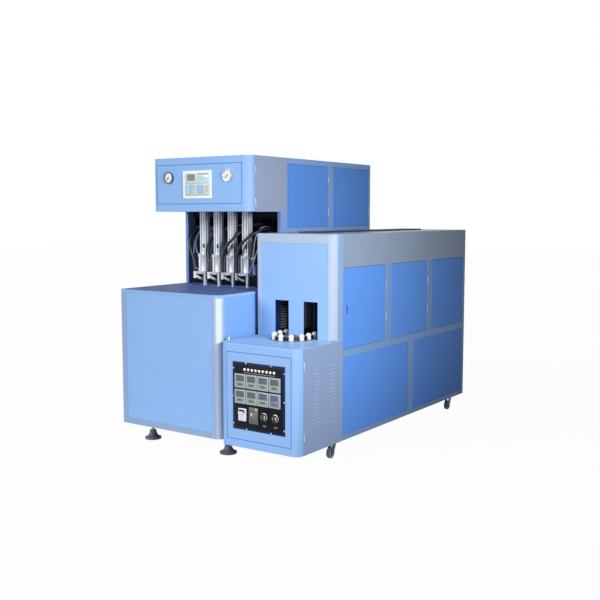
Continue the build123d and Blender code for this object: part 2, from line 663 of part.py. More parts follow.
def levelling_feet():
    """Four bell-shaped feet on threaded stems, each with its locking nut."""
    pieces = []
    for x in FOOT_X:
        for y in FOOT_Y:
            with BuildPart() as foot:
                with BuildSketch(Plane.XZ):
                    with BuildLine():
                        Line((0, 0), (FOOT_R, 0))
                        Line((FOOT_R, 0), (FOOT_R, FOOT_RIM_H))
                        ThreePointArc((FOOT_R, FOOT_RIM_H), FOOT_WAIST, (FOOT_NECK_R, FOOT_BELL_H))
                        Line((FOOT_NECK_R, FOOT_BELL_H), (FOOT_NECK_R, FOOT_BELL_H + FOOT_NUT_H))
                        Line((FOOT_NECK_R, FOOT_BELL_H + FOOT_NUT_H), (FOOT_STEM_R, FOOT_BELL_H + FOOT_NUT_H))
                        Line((FOOT_STEM_R, FOOT_BELL_H + FOOT_NUT_H), (FOOT_STEM_R, BASE_LIFT))
                        Line((FOOT_STEM_R, BASE_LIFT), (0, BASE_LIFT))
                        Line((0, BASE_LIFT), (0, 0))
                    make_face()
                revolve(axis=Axis.Z)
            pieces.append(Pos(x, y, 0) * foot.part)
    return group(pieces)


def head_shell():
    """Housing above the stations: two sides, roof and a floor pierced for the cylinders."""
    y = (HEAD_BACK, HOUSING_BACK)
    z = (HEAD_BOTTOM, TOTAL_H)
    pieces = [block((0, DOOR_SHEET), y, z)]
    pieces.append(block((BLOW_W - DOOR_SHEET, BLOW_W), y, z))
    pieces.append(block((0, BLOW_W), y, (TOTAL_H - DOOR_SHEET, TOTAL_H)))
    pieces.append(block((0, BLOW_W), y, (HEAD_BOTTOM, HEAD_BOTTOM + DOOR_SHEET)))
    pieces += hinge_seats(BLOW_W + HINGE_OUT, HEAD_BACK + HINGE_OUT, HEAD_HINGE_Z, 1)
    housing = fuse(pieces)
    hole = CYLINDER_W / 2 + RUN_GAP
    for x in STATION_X:
        housing -= block((x - hole, x + hole), (STATION_Y - hole, STATION_Y + hole),
                         (HEAD_BOTTOM - CUT, HEAD_BOTTOM + DOOR_SHEET + CUT))
    return housing


def head_door():
    """Blue head door with rounded sides, a seam line and holes for the two gauges."""
    x = (0, BLOW_W)
    y = (HEAD_FRONT, HEAD_BACK - RUN_GAP)
    z = (HEAD_BOTTOM + DOOR_GAP / 2, TOTAL_H - DOOR_GAP / 2)
    door = bullnose_door(x, y, z, HEAD_ROUND, HEAD_GROOVE)
    for gauge_x, gauge_z in GAUGE_AT:
        door -= bar_along_y(gauge_x, (HEAD_FRONT - CUT, HEAD_FRONT + DOOR_SHEET + CUT), gauge_z, GAUGE_FACE_R)
    hinge_y = HEAD_BACK + HINGE_OUT
    return fuse([door] + hinge_knuckles(BLOW_W + HINGE_OUT, hinge_y, HEAD_HINGE_Z, 1))


def head_instruments():
    """Operator panel and two pressure gauges on the head door."""
    y = (HEAD_FRONT - PANEL_T, HEAD_FRONT)
    plate = block(PANEL_X, y, PANEL_Z)
    face_x = (PANEL_X[0] + PANEL_RIM, PANEL_X[1] - PANEL_RIM)
    face_z = (PANEL_Z[0] + PANEL_RIM, PANEL_Z[1] - PANEL_RIM)
    pieces = [plate - block(face_x, (y[0] - CUT, y[0] + PANEL_RECESS), face_z)]
    for x, z in GAUGE_AT:
        bezel = bar_along_y(x, (HEAD_FRONT - GAUGE_PROUD, HEAD_FRONT), z, GAUGE_R)
        case = bar_along_y(x, (HEAD_FRONT, HEAD_FRONT + GAUGE_BACK), z, GAUGE_FACE_R - RUN_GAP)
        dial_y = (HEAD_FRONT - GAUGE_PROUD - CUT, HEAD_FRONT - GAUGE_PROUD + GAUGE_RECESS)
        pieces.append(bezel.fuse(case) - bar_along_y(x, dial_y, z, GAUGE_FACE_R))
    return group(pieces)


def gauge_needle(index):
    """Pointer of one gauge on its hub, at rest towards the lower left."""
    x, z = GAUGE_AT[index]
    floor = HEAD_FRONT - GAUGE_PROUD + GAUGE_RECESS
    front = floor - NEEDLE_HUB_H
    hub = bar_along_y(x, (front, floor - RUN_GAP), z, NEEDLE_HUB_R)
    blade = block((-NEEDLE_TAIL, NEEDLE_L), (front, front + NEEDLE_T), (-NEEDLE_W / 2, NEEDLE_W / 2))
    return fuse([hub, Pos(x, 0, z) * Rot(0, 135, 0) * blade])


def side_door(y, z, x_face, depth, hinge_z):
    """A side door pan hinged at its rear edge."""
    door_y = (y[0] + DOOR_GAP, y[1] - DOOR_GAP)
    door_z = (z[0] + DOOR_GAP, z[1] - DOOR_GAP)
    skin = pan((x_face - depth, x_face), door_y, door_z, SHEET, True)
    hinge_y = y[1] + DOOR_GAP / 2
    leaf_w, leaf_t = HINGE_LEAF
    pieces = [skin]
    for height in hinge_z:
        span = (height, height + HINGE_L / 2 - RUN_GAP)
        pieces.append(upright(x_face + HINGE_OUT, hinge_y, span, HINGE_R))
        pieces.append(block((x_face, x_face + leaf_t), (hinge_y - leaf_w, hinge_y), span))
    return fuse(pieces)


def tower_door(index):
    """One of the two doors in the tower's right side."""
    z = (TOWER_DOOR_BOTTOM, TOTAL_H - TOWER_RAIL_H)
    return side_door(TOWER_DOOR_Y[index], z, BLOW_W, DOOR_DEPTH, TOWER_HINGE_Z)


def stretch_cylinder(x):
    """Square aluminium profile cylinder with slots, end caps and a mounting flange."""
    half = CYLINDER_W / 2
    body = block((x - half, x + half), (STATION_Y - half, STATION_Y + half), (BLOCK_TOP, CYLINDER_TOP))
    flange_half = CYLINDER_FLANGE[0] / 2
    flange_z = (HEAD_BOTTOM + DOOR_SHEET, HEAD_BOTTOM + DOOR_SHEET + CYLINDER_FLANGE[1])
    body += block((x - flange_half, x + flange_half), (STATION_Y - flange_half, STATION_Y + flange_half), flange_z)
    width, depth = PROFILE_SLOT
    slot_z = (BLOCK_TOP + CYLINDER_CAP, HEAD_BOTTOM)
    for offset in (-PROFILE_SLOT_OFFSET, PROFILE_SLOT_OFFSET):
        across = (offset - width / 2, offset + width / 2)
        for sign in (-1, 1):
            deep = sorted((sign * half, sign * (half - depth)))
            body -= block((x + across[0], x + across[1]), (STATION_Y + deep[0], STATION_Y + deep[1]), slot_z)
            body -= block((x + deep[0], x + deep[1]), (STATION_Y + across[0], STATION_Y + across[1]), slot_z)
    bore_z = (BLOCK_TOP + CYLINDER_CAP, CYLINDER_TOP - CYLINDER_CAP)
    body -= upright(x, STATION_Y, bore_z, CYLINDER_BORE_R)
    return body - upright(x, STATION_Y, (BLOCK_TOP - CUT, bore_z[0] + CUT), ROD_R + RUN_GAP)


def stretch_cylinders():
    """The row of stretch cylinders under the head."""
    return group([stretch_cylinder(x) for x in STATION_X])


def seal_cylinder(x):
    """Tie-rod cylinder that lowers the nozzle, standing on two legs on the table."""
    lower_x, lower_y = LOWER_FLANGE[0] / 2, LOWER_FLANGE[1] / 2
    upper_x, upper_y = UPPER_FLANGE[0] / 2, UPPER_FLANGE[1] / 2
    low = (BLOCK_BOTTOM, BLOCK_BOTTOM + BLOCK_FLANGE)
    high = (BLOCK_TOP - BLOCK_FLANGE, BLOCK_TOP)
    pieces = [block((x - lower_x, x + lower_x), (STATION_Y - lower_y, STATION_Y + lower_y), low)]
    pieces.append(block((x - upper_x, x + upper_x), (STATION_Y - upper_y, STATION_Y + upper_y), high))
    pieces.append(upright(x, STATION_Y, (low[1], high[0]), BARREL_R))
    for dx in (-TIE_ROD_OFFSET, TIE_ROD_OFFSET):
        for dy in (-TIE_ROD_OFFSET, TIE_ROD_OFFSET):
            pieces.append(upright(x + dx, STATION_Y + dy, (low[1], high[0]), TIE_ROD_R))
    half = LEG_SIZE / 2
    for sign in (-1, 1):
        leg_x = x + sign * LEG_OFFSET[0]
        leg_y = STATION_Y - sign * LEG_OFFSET[1]
        pieces.append(block((leg_x - half, leg_x + half), (leg_y - half, leg_y + half), (TABLE_TOP, low[0])))
    return fuse(pieces) - upright(x, STATION_Y, (BLOCK_BOTTOM - CUT, BLOCK_TOP + CUT), STEM_R + RUN_GAP)


def seal_cylinders():
    """The row of seal cylinders on the table."""
    return group([seal_cylinder(x) for x in STATION_X])


def blow_nozzle(index):
    """Hollow stem, nozzle holder, sealing ring and tip, with the air elbow in its side."""
    x = STATION_X[index]
    pieces = [upright(x, STATION_Y, (NOZZLE_TOP, STEM_TOP), STEM_R)]
    pieces.append(upright(x, STATION_Y, (NOZZLE_BOTTOM, NOZZLE_TOP), NOZZLE_R))
    ring_z = (NOZZLE_BOTTOM - RING_H, NOZZLE_BOTTOM)
    pieces.append(upright(x, STATION_Y, ring_z, RING_R))
    tip_z = (ring_z[0] - TIP_H, ring_z[0])
    pieces.append(upright(x, STATION_Y, tip_z, TIP_R))
    dx, dy = ELBOW_OFFSET
    reach = hypot(dx, dy)
    arm = Rot(0, 0, degrees(atan2(dy, dx))) * bar_along_x((STEM_R, reach), 0, 0, ELBOW_R)
    pieces.append(Pos(x, STATION_Y, ELBOW_Z) * arm)
    pieces.append(Pos(x + dx, STATION_Y + dy, ELBOW_Z) * Sphere(ELBOW_R))
    pieces.append(upright(x + dx, STATION_Y + dy, (ELBOW_Z, ELBOW_TOP), ELBOW_R))
    return fuse(pieces) - upright(x, STATION_Y, (tip_z[0] - CUT, STEM_TOP + CUT), ROD_R + RUN_GAP)


def stretch_rod(index):
    """Thin steel rod that stretches the preform, with its piston in the cylinder above."""
    x = STATION_X[index]
    tip = NOZZLE_BOTTOM - RING_H - TIP_H + TIP_SETBACK
    rod = upright(x, STATION_Y, (tip, PISTON_Z), ROD_R)
    piston = upright(x, STATION_Y, (PISTON_Z, PISTON_Z + PISTON_H), CYLINDER_BORE_R - RUN_GAP)
    return rod + piston


def hose_route(index):
    """The points of one hose, from the elbow's mouth to the valve block's port."""
    start_x = STATION_X[index] + ELBOW_OFFSET[0]
    start = (start_x, STATION_Y + ELBOW_OFFSET[1], ELBOW_TOP)
    end = (PORT_X[index] + HOSE_SHIFT, PORT_Y, PORT_Z)
    return [start] + [(x + HOSE_SHIFT, y, z) for x, y, z in HOSE_ROUTES[index]] + [end]


def corner_radii(points):
    """For each corner, an arc as large as its two runs allow."""
    vectors = [Vector(*point) for point in points]
    radii = []
    for before, here, after in zip(vectors, vectors[1:], vectors[2:]):
        turn = (here - before).get_angle(after - here)
        run = min((here - before).length, (after - here).length)
        radii.append(0.45 * run / tan(radians(turn) / 2))
    return radii


def air_hose(index):
    """Rubber hose of round section, straight runs joined by tangent arcs."""
    points = hose_route(index)
    radii = corner_radii(points)
    print("hose", index + 1, "radii", [round(r) for r in radii])
    path = FilletPolyline(*points, radius=radii)
    print("hose", index + 1, "length", round(path.length, 1))
    start = Plane(origin=path @ 0, z_dir=path % 0)
    hose = sweep(start * Circle(HOSE_R), path=path)
    print("hose", index + 1, "volume ratio", round(hose.volume / (pi * HOSE_R ** 2 * path.length), 4))
    return hose


def filter_regulator():
    """Air filter with a clear bowl and a white cap, on a bracket from the last cylinder."""
    width, depth, height = FILTER_HEAD
    drain_r, drain_h = FILTER_DRAIN
    head_top = BLOCK_TOP - BLOCK_FLANGE
    head_low = head_top - height
    bowl_low = head_low - FILTER_BOWL_H
    head_x = (FILTER_X - width / 2, FILTER_X + width / 2)
    pieces = [block(head_x, (FILTER_Y - depth / 2, FILTER_Y + depth / 2), (head_low, head_top))]
    pieces.append(upright(FILTER_X, FILTER_Y, (bowl_low, head_low), FILTER_BOWL_R))
    pieces.append(upright(FILTER_X, FILTER_Y, (bowl_low - drain_h, bowl_low), drain_r))
    pieces.append(upright(FILTER_X, FILTER_Y, (head_top, head_top + FILTER_KNOB_H), FILTER_BOWL_R))
    flange_face = FILTER_X - FILTER_OUT
    bracket_y = (FILTER_Y - BRACKET_W / 2, FILTER_Y + BRACKET_W / 2)
    pieces.append(block((flange_face, FILTER_X + BRACKET_W / 2), bracket_y, (head_top, head_top + BRACKET_T)))
    pieces.append(block((flange_face, flange_face + BRACKET_T), bracket_y, (head_top, BLOCK_TOP)))
    return fuse(pieces)


def valve_panel():
    """Steel panel across the tower with the valve block, its valves and hose ports."""
    x = (TOWER_POST_T + RUN_GAP, BLOW_W - TOWER_POST_T - RUN_GAP)
    panel = block(x, (VALVE_PANEL_Y, VALVE_PANEL_Y + SHEET), (TABLE_TOP, VALVE_PANEL_TOP))
    block_y = (PORT_Y + PORT_L, VALVE_PANEL_Y)
    block_z = (PORT_Z - VALVE_BLOCK_H / 2, PORT_Z + VALVE_BLOCK_H / 2)
    manifold = [block(VALVE_BLOCK, block_y, block_z)]
    for port_x in PORT_X:
        manifold.append(bar_along_y(port_x + HOSE_SHIFT, (PORT_Y, PORT_Y + PORT_L), PORT_Z, PORT_R))
    pieces = [panel, fuse(manifold)]
    step = (VALVE_BLOCK[1] - VALVE_BLOCK[0]) / VALVE_COUNT
    mid_y = (block_y[0] + block_y[1]) / 2
    for i in range(VALVE_COUNT):
        mid_x = VALVE_BLOCK[0] + (i + 0.5) * step
        valve_x = (mid_x - VALVE_SIZE[0] / 2, mid_x + VALVE_SIZE[0] / 2)
        valve_y = (mid_y - VALVE_SIZE[1] / 2, mid_y + VALVE_SIZE[1] / 2)
        pieces.append(block(valve_x, valve_y, (block_z[1], block_z[1] + VALVE_SIZE[2])))
    return group(pieces)


def bottle_cavity(x):
    """The form of one blown bottle, cut half into each mould half."""
    base = MOULD_TOP - BOTTLE_H
    shoulder = MOULD_TOP - BOTTLE_NECK_H - BOTTLE_SHOULDER_H
    neck = MOULD_TOP - BOTTLE_NECK_H
    outline = Polyline((0, base), (BOTTLE_BODY_R - BOTTLE_FOOT, base), (BOTTLE_BODY_R, base + BOTTLE_FOOT),
                       (BOTTLE_BODY_R, shoulder), (BOTTLE_NECK_R, neck), (BOTTLE_NECK_R, MOULD_TOP + CUT),
                       (0, MOULD_TOP + CUT), close=True)
    half_section = Plane.XZ * make_face(outline)
    return Pos(x, STATION_Y, 0) * revolve(half_section, axis=Axis.Z)


def mould_half(sign):
    """Half moulds, each of base, body, shoulder and neck plate, on their platen with its clamp rod."""
    inner = STATION_Y + sign * MOULD_PARTING / 2
    outer = STATION_Y + sign * MOULD_DEPTH
    middles = [(left + right) / 2 for left, right in zip(STATION_X, STATION_X[1:])]
    splits = [MOULD_X[0], *middles, MOULD_X[1]]
    neck = MOULD_TOP - BOTTLE_NECK_H
    layers = (MOULD_TOP - MOULD_H, MOULD_TOP - BOTTLE_H, neck - BOTTLE_SHOULDER_H, neck, MOULD_TOP - RUN_GAP)
    inserts = []
    for x, left, right in zip(STATION_X, splits, splits[1:]):
        for low, high in zip(layers, layers[1:]):
            for half in ((left, x), (x, right)):
                inserts.append(block(half, sorted((inner, outer)), (low, high)) - bottle_cavity(x))
    platen_back = outer + sign * PLATEN_T
    platen = block(PLATEN_X, sorted((outer, platen_back)), PLATEN_Z)
    for x in TIE_BAR_X:
        for z in TIE_BAR_Z:
            hole_y = sorted((outer - sign * CUT, platen_back + sign * CUT))
            platen -= bar_along_y(x, hole_y, z, TIE_BAR_R + RUN_GAP)
    plate_face = CLAMP_PLATE_Y[0] if sign < 0 else CLAMP_PLATE_Y[1]
    rod_end = plate_face + sign * CLAMP_ROD_REACH
    rod = bar_along_y(BLOW_W / 2, sorted((platen_back, rod_end)), CLAMP_Z, CLAMP_ROD_R)
    return group([*inserts, platen.fuse(rod)])


def mould_clamp():
    """Two end plates, four tie bars and the two clamp cylinders."""
    pieces = []
    z = (CLAMP_BED_Z, PLATEN_Z[1])
    rod_hole = CLAMP_ROD_R + RUN_GAP
    for sign, face in zip((-1, 1), CLAMP_PLATE_Y):
        inner = face - sign * CLAMP_PLATE_T
        pieces.append(block(CLAMP_PLATE_X, sorted((inner, face)), z))
        cylinder_end = face + sign * CLAMP_CYL_L
        pieces.append(bar_along_y(BLOW_W / 2, sorted((face, cylinder_end)), CLAMP_Z, CLAMP_CYL_R))
    for x in TIE_BAR_X:
        for height in TIE_BAR_Z:
            pieces.append(bar_along_y(x, CLAMP_PLATE_Y, height, TIE_BAR_R))
    clamp = fuse(pieces)
    for sign, face in zip((-1, 1), CLAMP_PLATE_Y):
        hole_end = face + sign * (CLAMP_ROD_REACH + MOULD_TRAVEL + CLAMP_CUSHION)
        hole_start = face - sign * (CLAMP_PLATE_T + CUT)
        clamp -= bar_along_y(BLOW_W / 2, sorted((hole_start, hole_end)), CLAMP_Z, rod_hole)
    return clamp


def heater_frame():
    """Welded frame of the heater with its rounded front corner."""
    x0, x1 = HEATER_X0, HEATER_X1
    full = (HEATER_LIFT, BAND_BOTTOM)
    corner = block((x1 - RIGHT_STRIP_W, x1), (CAB_FRONT, SIDE_FIRST), (BOX_TOP, HEATER_TOP))
    edge = corner.edges().filter_by(Axis.Z).group_by(Axis.Y)[0].sort_by(Axis.X)[-1]
    pieces = [fillet(edge, CAB_ROUND)]
    inner_x = (x1 - POST_DEPTH, x1 - DOOR_SHEET - RUN_GAP)
    pieces.append(block(inner_x, (CAB_FRONT + RAIL_T, SIDE_FIRST), (HEATER_LIFT, BOX_TOP)))
    pieces.append(block((x0, x0 + LEFT_STRIP_W), (CAB_FRONT, SIDE_FIRST), (HEATER_LIFT, HEATER_TOP)))
    front_y = (CAB_FRONT, CAB_FRONT + POST_DEPTH)
    strip_x = (x0 + LEFT_STRIP_W, x1 - RIGHT_STRIP_W)
    pieces.append(block(strip_x, front_y, (HEATER_TOP - FRONT_STRIP_H, HEATER_TOP)))
    rear_y = (SIDE_LAST, CAB_BACK)
    for outer, sign in ((x0, 1), (x1, -1)):
        x = sorted((outer, outer + sign * POST_DEPTH))
        behind_band = sorted((outer + sign * (SHEET + RUN_GAP), outer + sign * POST_DEPTH))
        pieces.append(block(x, rear_y, full))
        behind_y = (SIDE_FIRST, CAB_BACK - SHEET - RUN_GAP)
        pieces.append(block(behind_band, behind_y, (BAND_BOTTOM, BAND_BOTTOM + RAIL_T)))
        pieces.append(block(x, (SIDE_FIRST, SIDE_LAST), MID_RAIL))
        pieces.append(block(x, (SIDE_FIRST, SIDE_LAST), (HEATER_LIFT, HEATER_LIFT + BOTTOM_RAIL_H)))
        pieces.append(block(x, LOWER_POST, (HEATER_LIFT + BOTTOM_RAIL_H, MID_RAIL[0])))
        for (_, low), (high, _) in zip(DOOR_Y, DOOR_Y[1:]):
            post = block(x, (low, high), (MID_RAIL[1], BAND_BOTTOM))
            pieces.append(post - post_groove(outer, sign, low))
    cross_x = (x0 + POST_DEPTH, x1 - POST_DEPTH)
    deck_z = (BOX_TOP - DECK_T - CROSS_RAIL_H, BOX_TOP - DECK_T)
    pieces.append(block((x0 + LEFT_STRIP_W, x1 - POST_DEPTH), (CAB_FRONT + RAIL_T, SIDE_FIRST), deck_z))
    for (_, low), (high, _) in zip(DOOR_Y, DOOR_Y[1:]):
        pieces.append(block(cross_x, (low, high), (MID_RAIL[0], MID_RAIL[1])))
        deck_post_x = (HEATER_MID - DECK_POST_W / 2, HEATER_MID + DECK_POST_W / 2)
        pieces.append(block(deck_post_x, (low, high), (MID_RAIL[1], deck_z[1])))
    rear_beam_y = (SIDE_LAST, CAB_BACK - PANEL_SETBACK - SHEET)
    pieces.append(block(cross_x, rear_beam_y, deck_z))
    low_z = (HEATER_LIFT, HEATER_LIFT + BOTTOM_RAIL_H)
    pieces.append(block(cross_x, (CAB_FRONT + RAIL_T, SIDE_FIRST), low_z))
    pieces.append(block(cross_x, rear_y, low_z))
    for outer, sign in ((x0, 1), (x1, -1)):
        for y in CASTER_Y:
            plate_x = sorted((outer + sign * POST_DEPTH, outer + sign * (CASTER_INSET + CASTER_PLATE[1] / 2)))
            pieces.append(block(plate_x, (y - CASTER_SEAT_W / 2, y + CASTER_SEAT_W / 2), low_z))
    for _, y1 in DOOR_Y:
        pieces += hinge_seats(x1 + HINGE_OUT, y1 + DOOR_GAP / 2, HEATER_HINGE_Z, 1)
    return fuse(pieces)


def post_groove(outer, sign, low):
    """The upright line between the two tubes that a door post is made of."""
    width, depth, place = POST_GROOVE
    x = sorted((outer - sign * CUT, outer + sign * depth))
    return block(x, (low + place, low + place + width), (MID_RAIL[1] - CUT, BAND_BOTTOM + CUT))


def heater_front_panel():
    """Blue front sheet with the two slots the preforms pass through."""
    x = (HEATER_X0 + LEFT_STRIP_W + RUN_GAP, HEATER_X1 - RIGHT_STRIP_W - RUN_GAP)
    z = (BOX_TOP + RUN_GAP, HEATER_TOP - FRONT_STRIP_H - RUN_GAP)
    face = CAB_FRONT + PANEL_SETBACK
    sheet = block(x, (face, face + DOOR_SHEET), z)
    for sign in (-1, 1):
        mid = LANE_MID + sign * LANE_X
        sheet -= block((mid - SLOT_W / 2, mid + SLOT_W / 2), (face - CUT, face + DOOR_SHEET + CUT),
                       (z[0] - CUT, SLOT_TOP))
    wheel_top = TRACK_TOP + WHEEL_LIFT + WHEEL_T
    return sheet - block((LANE_MID - LANE_X, LANE_MID + LANE_X), (face - CUT, face + DOOR_SHEET + CUT),
                         (z[0] - CUT, wheel_top + DOOR_GAP))


def heater_top_cover():
    """Grey sheet cap: roof with deep side bands and a rear band."""
    x0, x1 = HEATER_X0, HEATER_X1
    y = (SIDE_FIRST + RUN_GAP, CAB_BACK)
    z = (BAND_BOTTOM + RUN_GAP, HEATER_TOP)
    pieces = [block((x0, x0 + SHEET), y, z)]
    pieces.append(block((x1 - SHEET, x1), y, z))
    pieces.append(block((x0, x1), (CAB_BACK - SHEET, CAB_BACK), z))
    pieces.append(block((x0, x1), y, (HEATER_TOP - SHEET, HEATER_TOP)))
    roof_front = (CAB_FRONT + POST_DEPTH + RUN_GAP, SIDE_FIRST + CUT)
    roof_x = (x0 + LEFT_STRIP_W + RUN_GAP, x1 - RIGHT_STRIP_W - RUN_GAP)
    pieces.append(block(roof_x, roof_front, (HEATER_TOP - SHEET, HEATER_TOP)))
    return fuse(pieces)


def vent_spans():
    """Where each hood begins and ends along the roof."""
    first = SIDE_FIRST + VENT_ENDS[0]
    length = SIDE_LAST - VENT_ENDS[1] - first - (len(VENT_SHARES) - 1) * VENT_GAP
    spans = []
    for share in VENT_SHARES:
        spans.append((first, first + share * length))
        first = spans[-1][1] + VENT_GAP
    return spans


def top_vents():
    """Three low black hoods over the hot-air outlets, slotted along the top."""
    pieces = []
    slot_x = (VENT_X[0] + VENT_RIM, VENT_X[1] - VENT_RIM)
    slot_z = (HEATER_TOP + VENT_FLOOR, HEATER_TOP + VENT_H + CUT)
    for y0, y1 in vent_spans():
        hood = block(VENT_X, (y0, y1), (HEATER_TOP, HEATER_TOP + VENT_H))
        pitch = (y1 - y0) / (VENT_SLOTS + 1)
        for i in range(VENT_SLOTS):
            mid = y0 + (i + 1) * pitch
            hood -= block(slot_x, (mid - VENT_SLOT_W / 2, mid + VENT_SLOT_W / 2), slot_z)
        pieces.append(hood)
    return group(pieces)


def heater_door(index):
    """One of the three upper side doors; the first has a recessed pull near its front edge."""
    y = DOOR_Y[index]
    door = side_door(y, (MID_RAIL[1], BAND_BOTTOM), HEATER_X1, DOOR_DEPTH, HEATER_HINGE_Z)
    if index > 0:
        return door
    pull_y = y[0] + PULL_INSET
    width, height = PULL_SIZE
    span_y = (pull_y - width / 2, pull_y + width / 2)
    span_z = (PULL_Z - height / 2, PULL_Z + height / 2)
    back = HEATER_X1 - SHEET - PULL_DEPTH
    slot = block((back + SHEET, HEATER_X1 + PULL_PROUD + CUT), (span_y[0] + PULL_RIM, span_y[1] - PULL_RIM),
                 (span_z[0] + PULL_RIM, span_z[1] - PULL_RIM))
    cup = block((back, HEATER_X1 + PULL_PROUD), span_y, span_z)
    return fuse([door, cup]) - slot


def heater_fixed_panels():
    """Fixed blue sheets: lower right pair, the left side and the rear."""
    pieces = []
    low = HEATER_LIFT + BOTTOM_RAIL_H + RUN_GAP
    lower_z = (low, MID_RAIL[0] - RUN_GAP)
    spans = ((SIDE_FIRST + RUN_GAP, LOWER_POST[0] - RUN_GAP), (LOWER_POST[1] + RUN_GAP, SIDE_LAST - RUN_GAP))
    for face, sign in ((HEATER_X1 - PANEL_SETBACK, -1), (HEATER_X0 + PANEL_SETBACK, 1)):
        x = sorted((face, face + sign * SHEET))
        for span in spans:
            pieces.append(block(x, span, lower_z))
    left_x = (HEATER_X0 + PANEL_SETBACK, HEATER_X0 + PANEL_SETBACK + SHEET)
    upper_z = (MID_RAIL[1] + RUN_GAP, BAND_BOTTOM - RUN_GAP)
    for y0, y1 in DOOR_Y:
        pieces.append(block(left_x, (y0 + RUN_GAP, y1 - RUN_GAP), upper_z))
    rear_x = (HEATER_X0 + POST_DEPTH + RUN_GAP, HEATER_X1 - POST_DEPTH - RUN_GAP)
    rear_y = (CAB_BACK - PANEL_SETBACK - SHEET, CAB_BACK - PANEL_SETBACK)
    pieces.append(block(rear_x, rear_y, (low, BAND_BOTTOM - RUN_GAP)))
    return group(pieces)


def control_box():
    """Sheet box in front of the heater, with louvres in its right side."""
    x0, x1 = HEATER_X0, HEATER_X1
    y = (BOX_DOOR_BACK + RUN_GAP, CAB_FRONT - RUN_GAP)
    z = (HEATER_LIFT, BOX_TOP)
    side_y = (y[0], SIDE_FIRST - RUN_GAP)
    pieces = [block((x0, x0 + DOOR_SHEET), y, z)]
    pieces.append(block((x1 - DOOR_SHEET, x1), side_y, z))
    pieces.append(block((x0, x1), y, (BOX_TOP - DOOR_SHEET, BOX_TOP)))
    pieces.append(block((x0, x1), y, (HEATER_LIFT, HEATER_LIFT + DOOR_SHEET)))
    pieces.append(block((x0, x1), (y[1] - DOOR_SHEET, y[1]), (HEATER_LIFT, BOX_TOP)))
    pieces += hinge_seats(x1 + HINGE_OUT, BOX_DOOR_BACK + HINGE_OUT, BOX_HINGE_Z, 1)
    slits = []
    pitch = (LOUVRE_Z[1] - LOUVRE_Z[0]) / (LOUVRE_ROWS - 1)
    for y0, y1 in LOUVRE_Y:
        for i in range(LOUVRE_ROWS):
            z0 = LOUVRE_Z[0] + i * pitch
            wedge = Polyline((x1 - CUT, z0), (x1 + LOUVRE_OUT, z0), (x1 - CUT, z0 + LOUVRE_H), close=True)
            hood = extrude(Plane.XZ * make_face(wedge), amount=-(y1 - y0))
            pieces.append(Pos(0, y0, 0) * hood)
            slits.append(block((x1 - DOOR_SHEET - CUT, x1 + LOUVRE_OUT / 2), (y0 + LOUVRE_END, y1 - LOUVRE_END),
                               (z0 - CUT, z0 + LOUVRE_SLIT)))
    box = fuse(pieces)
    box = box - slits
    shaft_hole = upright(LANE_MID, WHEEL_Y, (BOX_TOP - DOOR_SHEET - CUT, BOX_TOP + CUT), SHAFT_R + RUN_GAP)
    return box - shaft_hole


def control_door():
    """Blue control door with rounded sides and a seam line."""
    x = (HEATER_X0, HEATER_X1)
    y = (BOX_FRONT, BOX_DOOR_BACK - RUN_GAP)
    z = (HEATER_LIFT + DOOR_GAP / 2, BOX_TOP - DOOR_GAP / 2)
    door = bullnose_door(x, y, z, BOX_ROUND, BOX_GROOVE, BOX_TOP_ROUND)
    hinge_y = BOX_DOOR_BACK + HINGE_OUT
    return fuse([door] + hinge_knuckles(HEATER_X1 + HINGE_OUT, hinge_y, BOX_HINGE_Z, 1))


def instrument_panel():
    """Black plate with eight square meters, the main breaker and a switch plate."""
    back = BOX_FRONT
    front = back - PLATE_T
    pieces = [block(PLATE_X, (front, back), PLATE_Z)]
    width, height = METER_SIZE
    for row in range(METER_ROWS):
        for col in range(METER_COLS):
            x0 = PLATE_X[0] + METER_FIRST[0] + col * METER_PITCH[0]
            z1 = PLATE_Z[1] - METER_FIRST[1] - row * METER_PITCH[1]
            meter = block((x0, x0 + width), (front - METER_PROUD, front), (z1 - height, z1))
            window_x = (x0 + METER_RIM, x0 + width - METER_RIM)
            window_z = (z1 - height / 2, z1 - METER_RIM)
            window_y = (front - METER_PROUD - CUT, front - METER_PROUD + METER_RECESS)
            meter -= block(window_x, window_y, window_z)
            pieces.append(meter)
    body = block(BREAKER_X, (front - BREAKER_PROUD, front), BREAKER_Z)
    well_x = (TOGGLE_X[0] - DOOR_GAP / 2, TOGGLE_X[1] + DOOR_GAP / 2)
    well = bar_along_x(well_x, front - BREAKER_PROUD, TOGGLE_Z, TOGGLE_R + DOOR_GAP / 2)
    pieces.append(body - well)
    pieces.append(block(SWITCH_X, (front - SWITCH_PROUD, front), SWITCH_Z))
    return group(pieces)


def breaker_toggle():
    """Rocking lever of the main breaker."""
    y = BOX_FRONT - PLATE_T - BREAKER_PROUD
    hub = bar_along_x(TOGGLE_X, y, TOGGLE_Z, TOGGLE_R)
    lever_z = (TOGGLE_Z - TOGGLE_T / 2, TOGGLE_Z + TOGGLE_T / 2)
    lever = block(TOGGLE_X, (y - TOGGLE_R - TOGGLE_REACH, y), lever_z)
    return hub.fuse(lever)


def panel_knob(index):
    """Round knob with a raised grip bar across its face."""
    x, z = KNOB_AT[index]
    back = BOX_FRONT - PLATE_T - RUN_GAP
    width, height = KNOB_GRIP
    skirt = bar_along_y(x, (back - KNOB_SKIRT, back), z, KNOB_R)
    grip = block((x - width / 2, x + width / 2), (back - KNOB_L, back), (z - height / 2, z + height / 2))
    return skirt.fuse(grip)


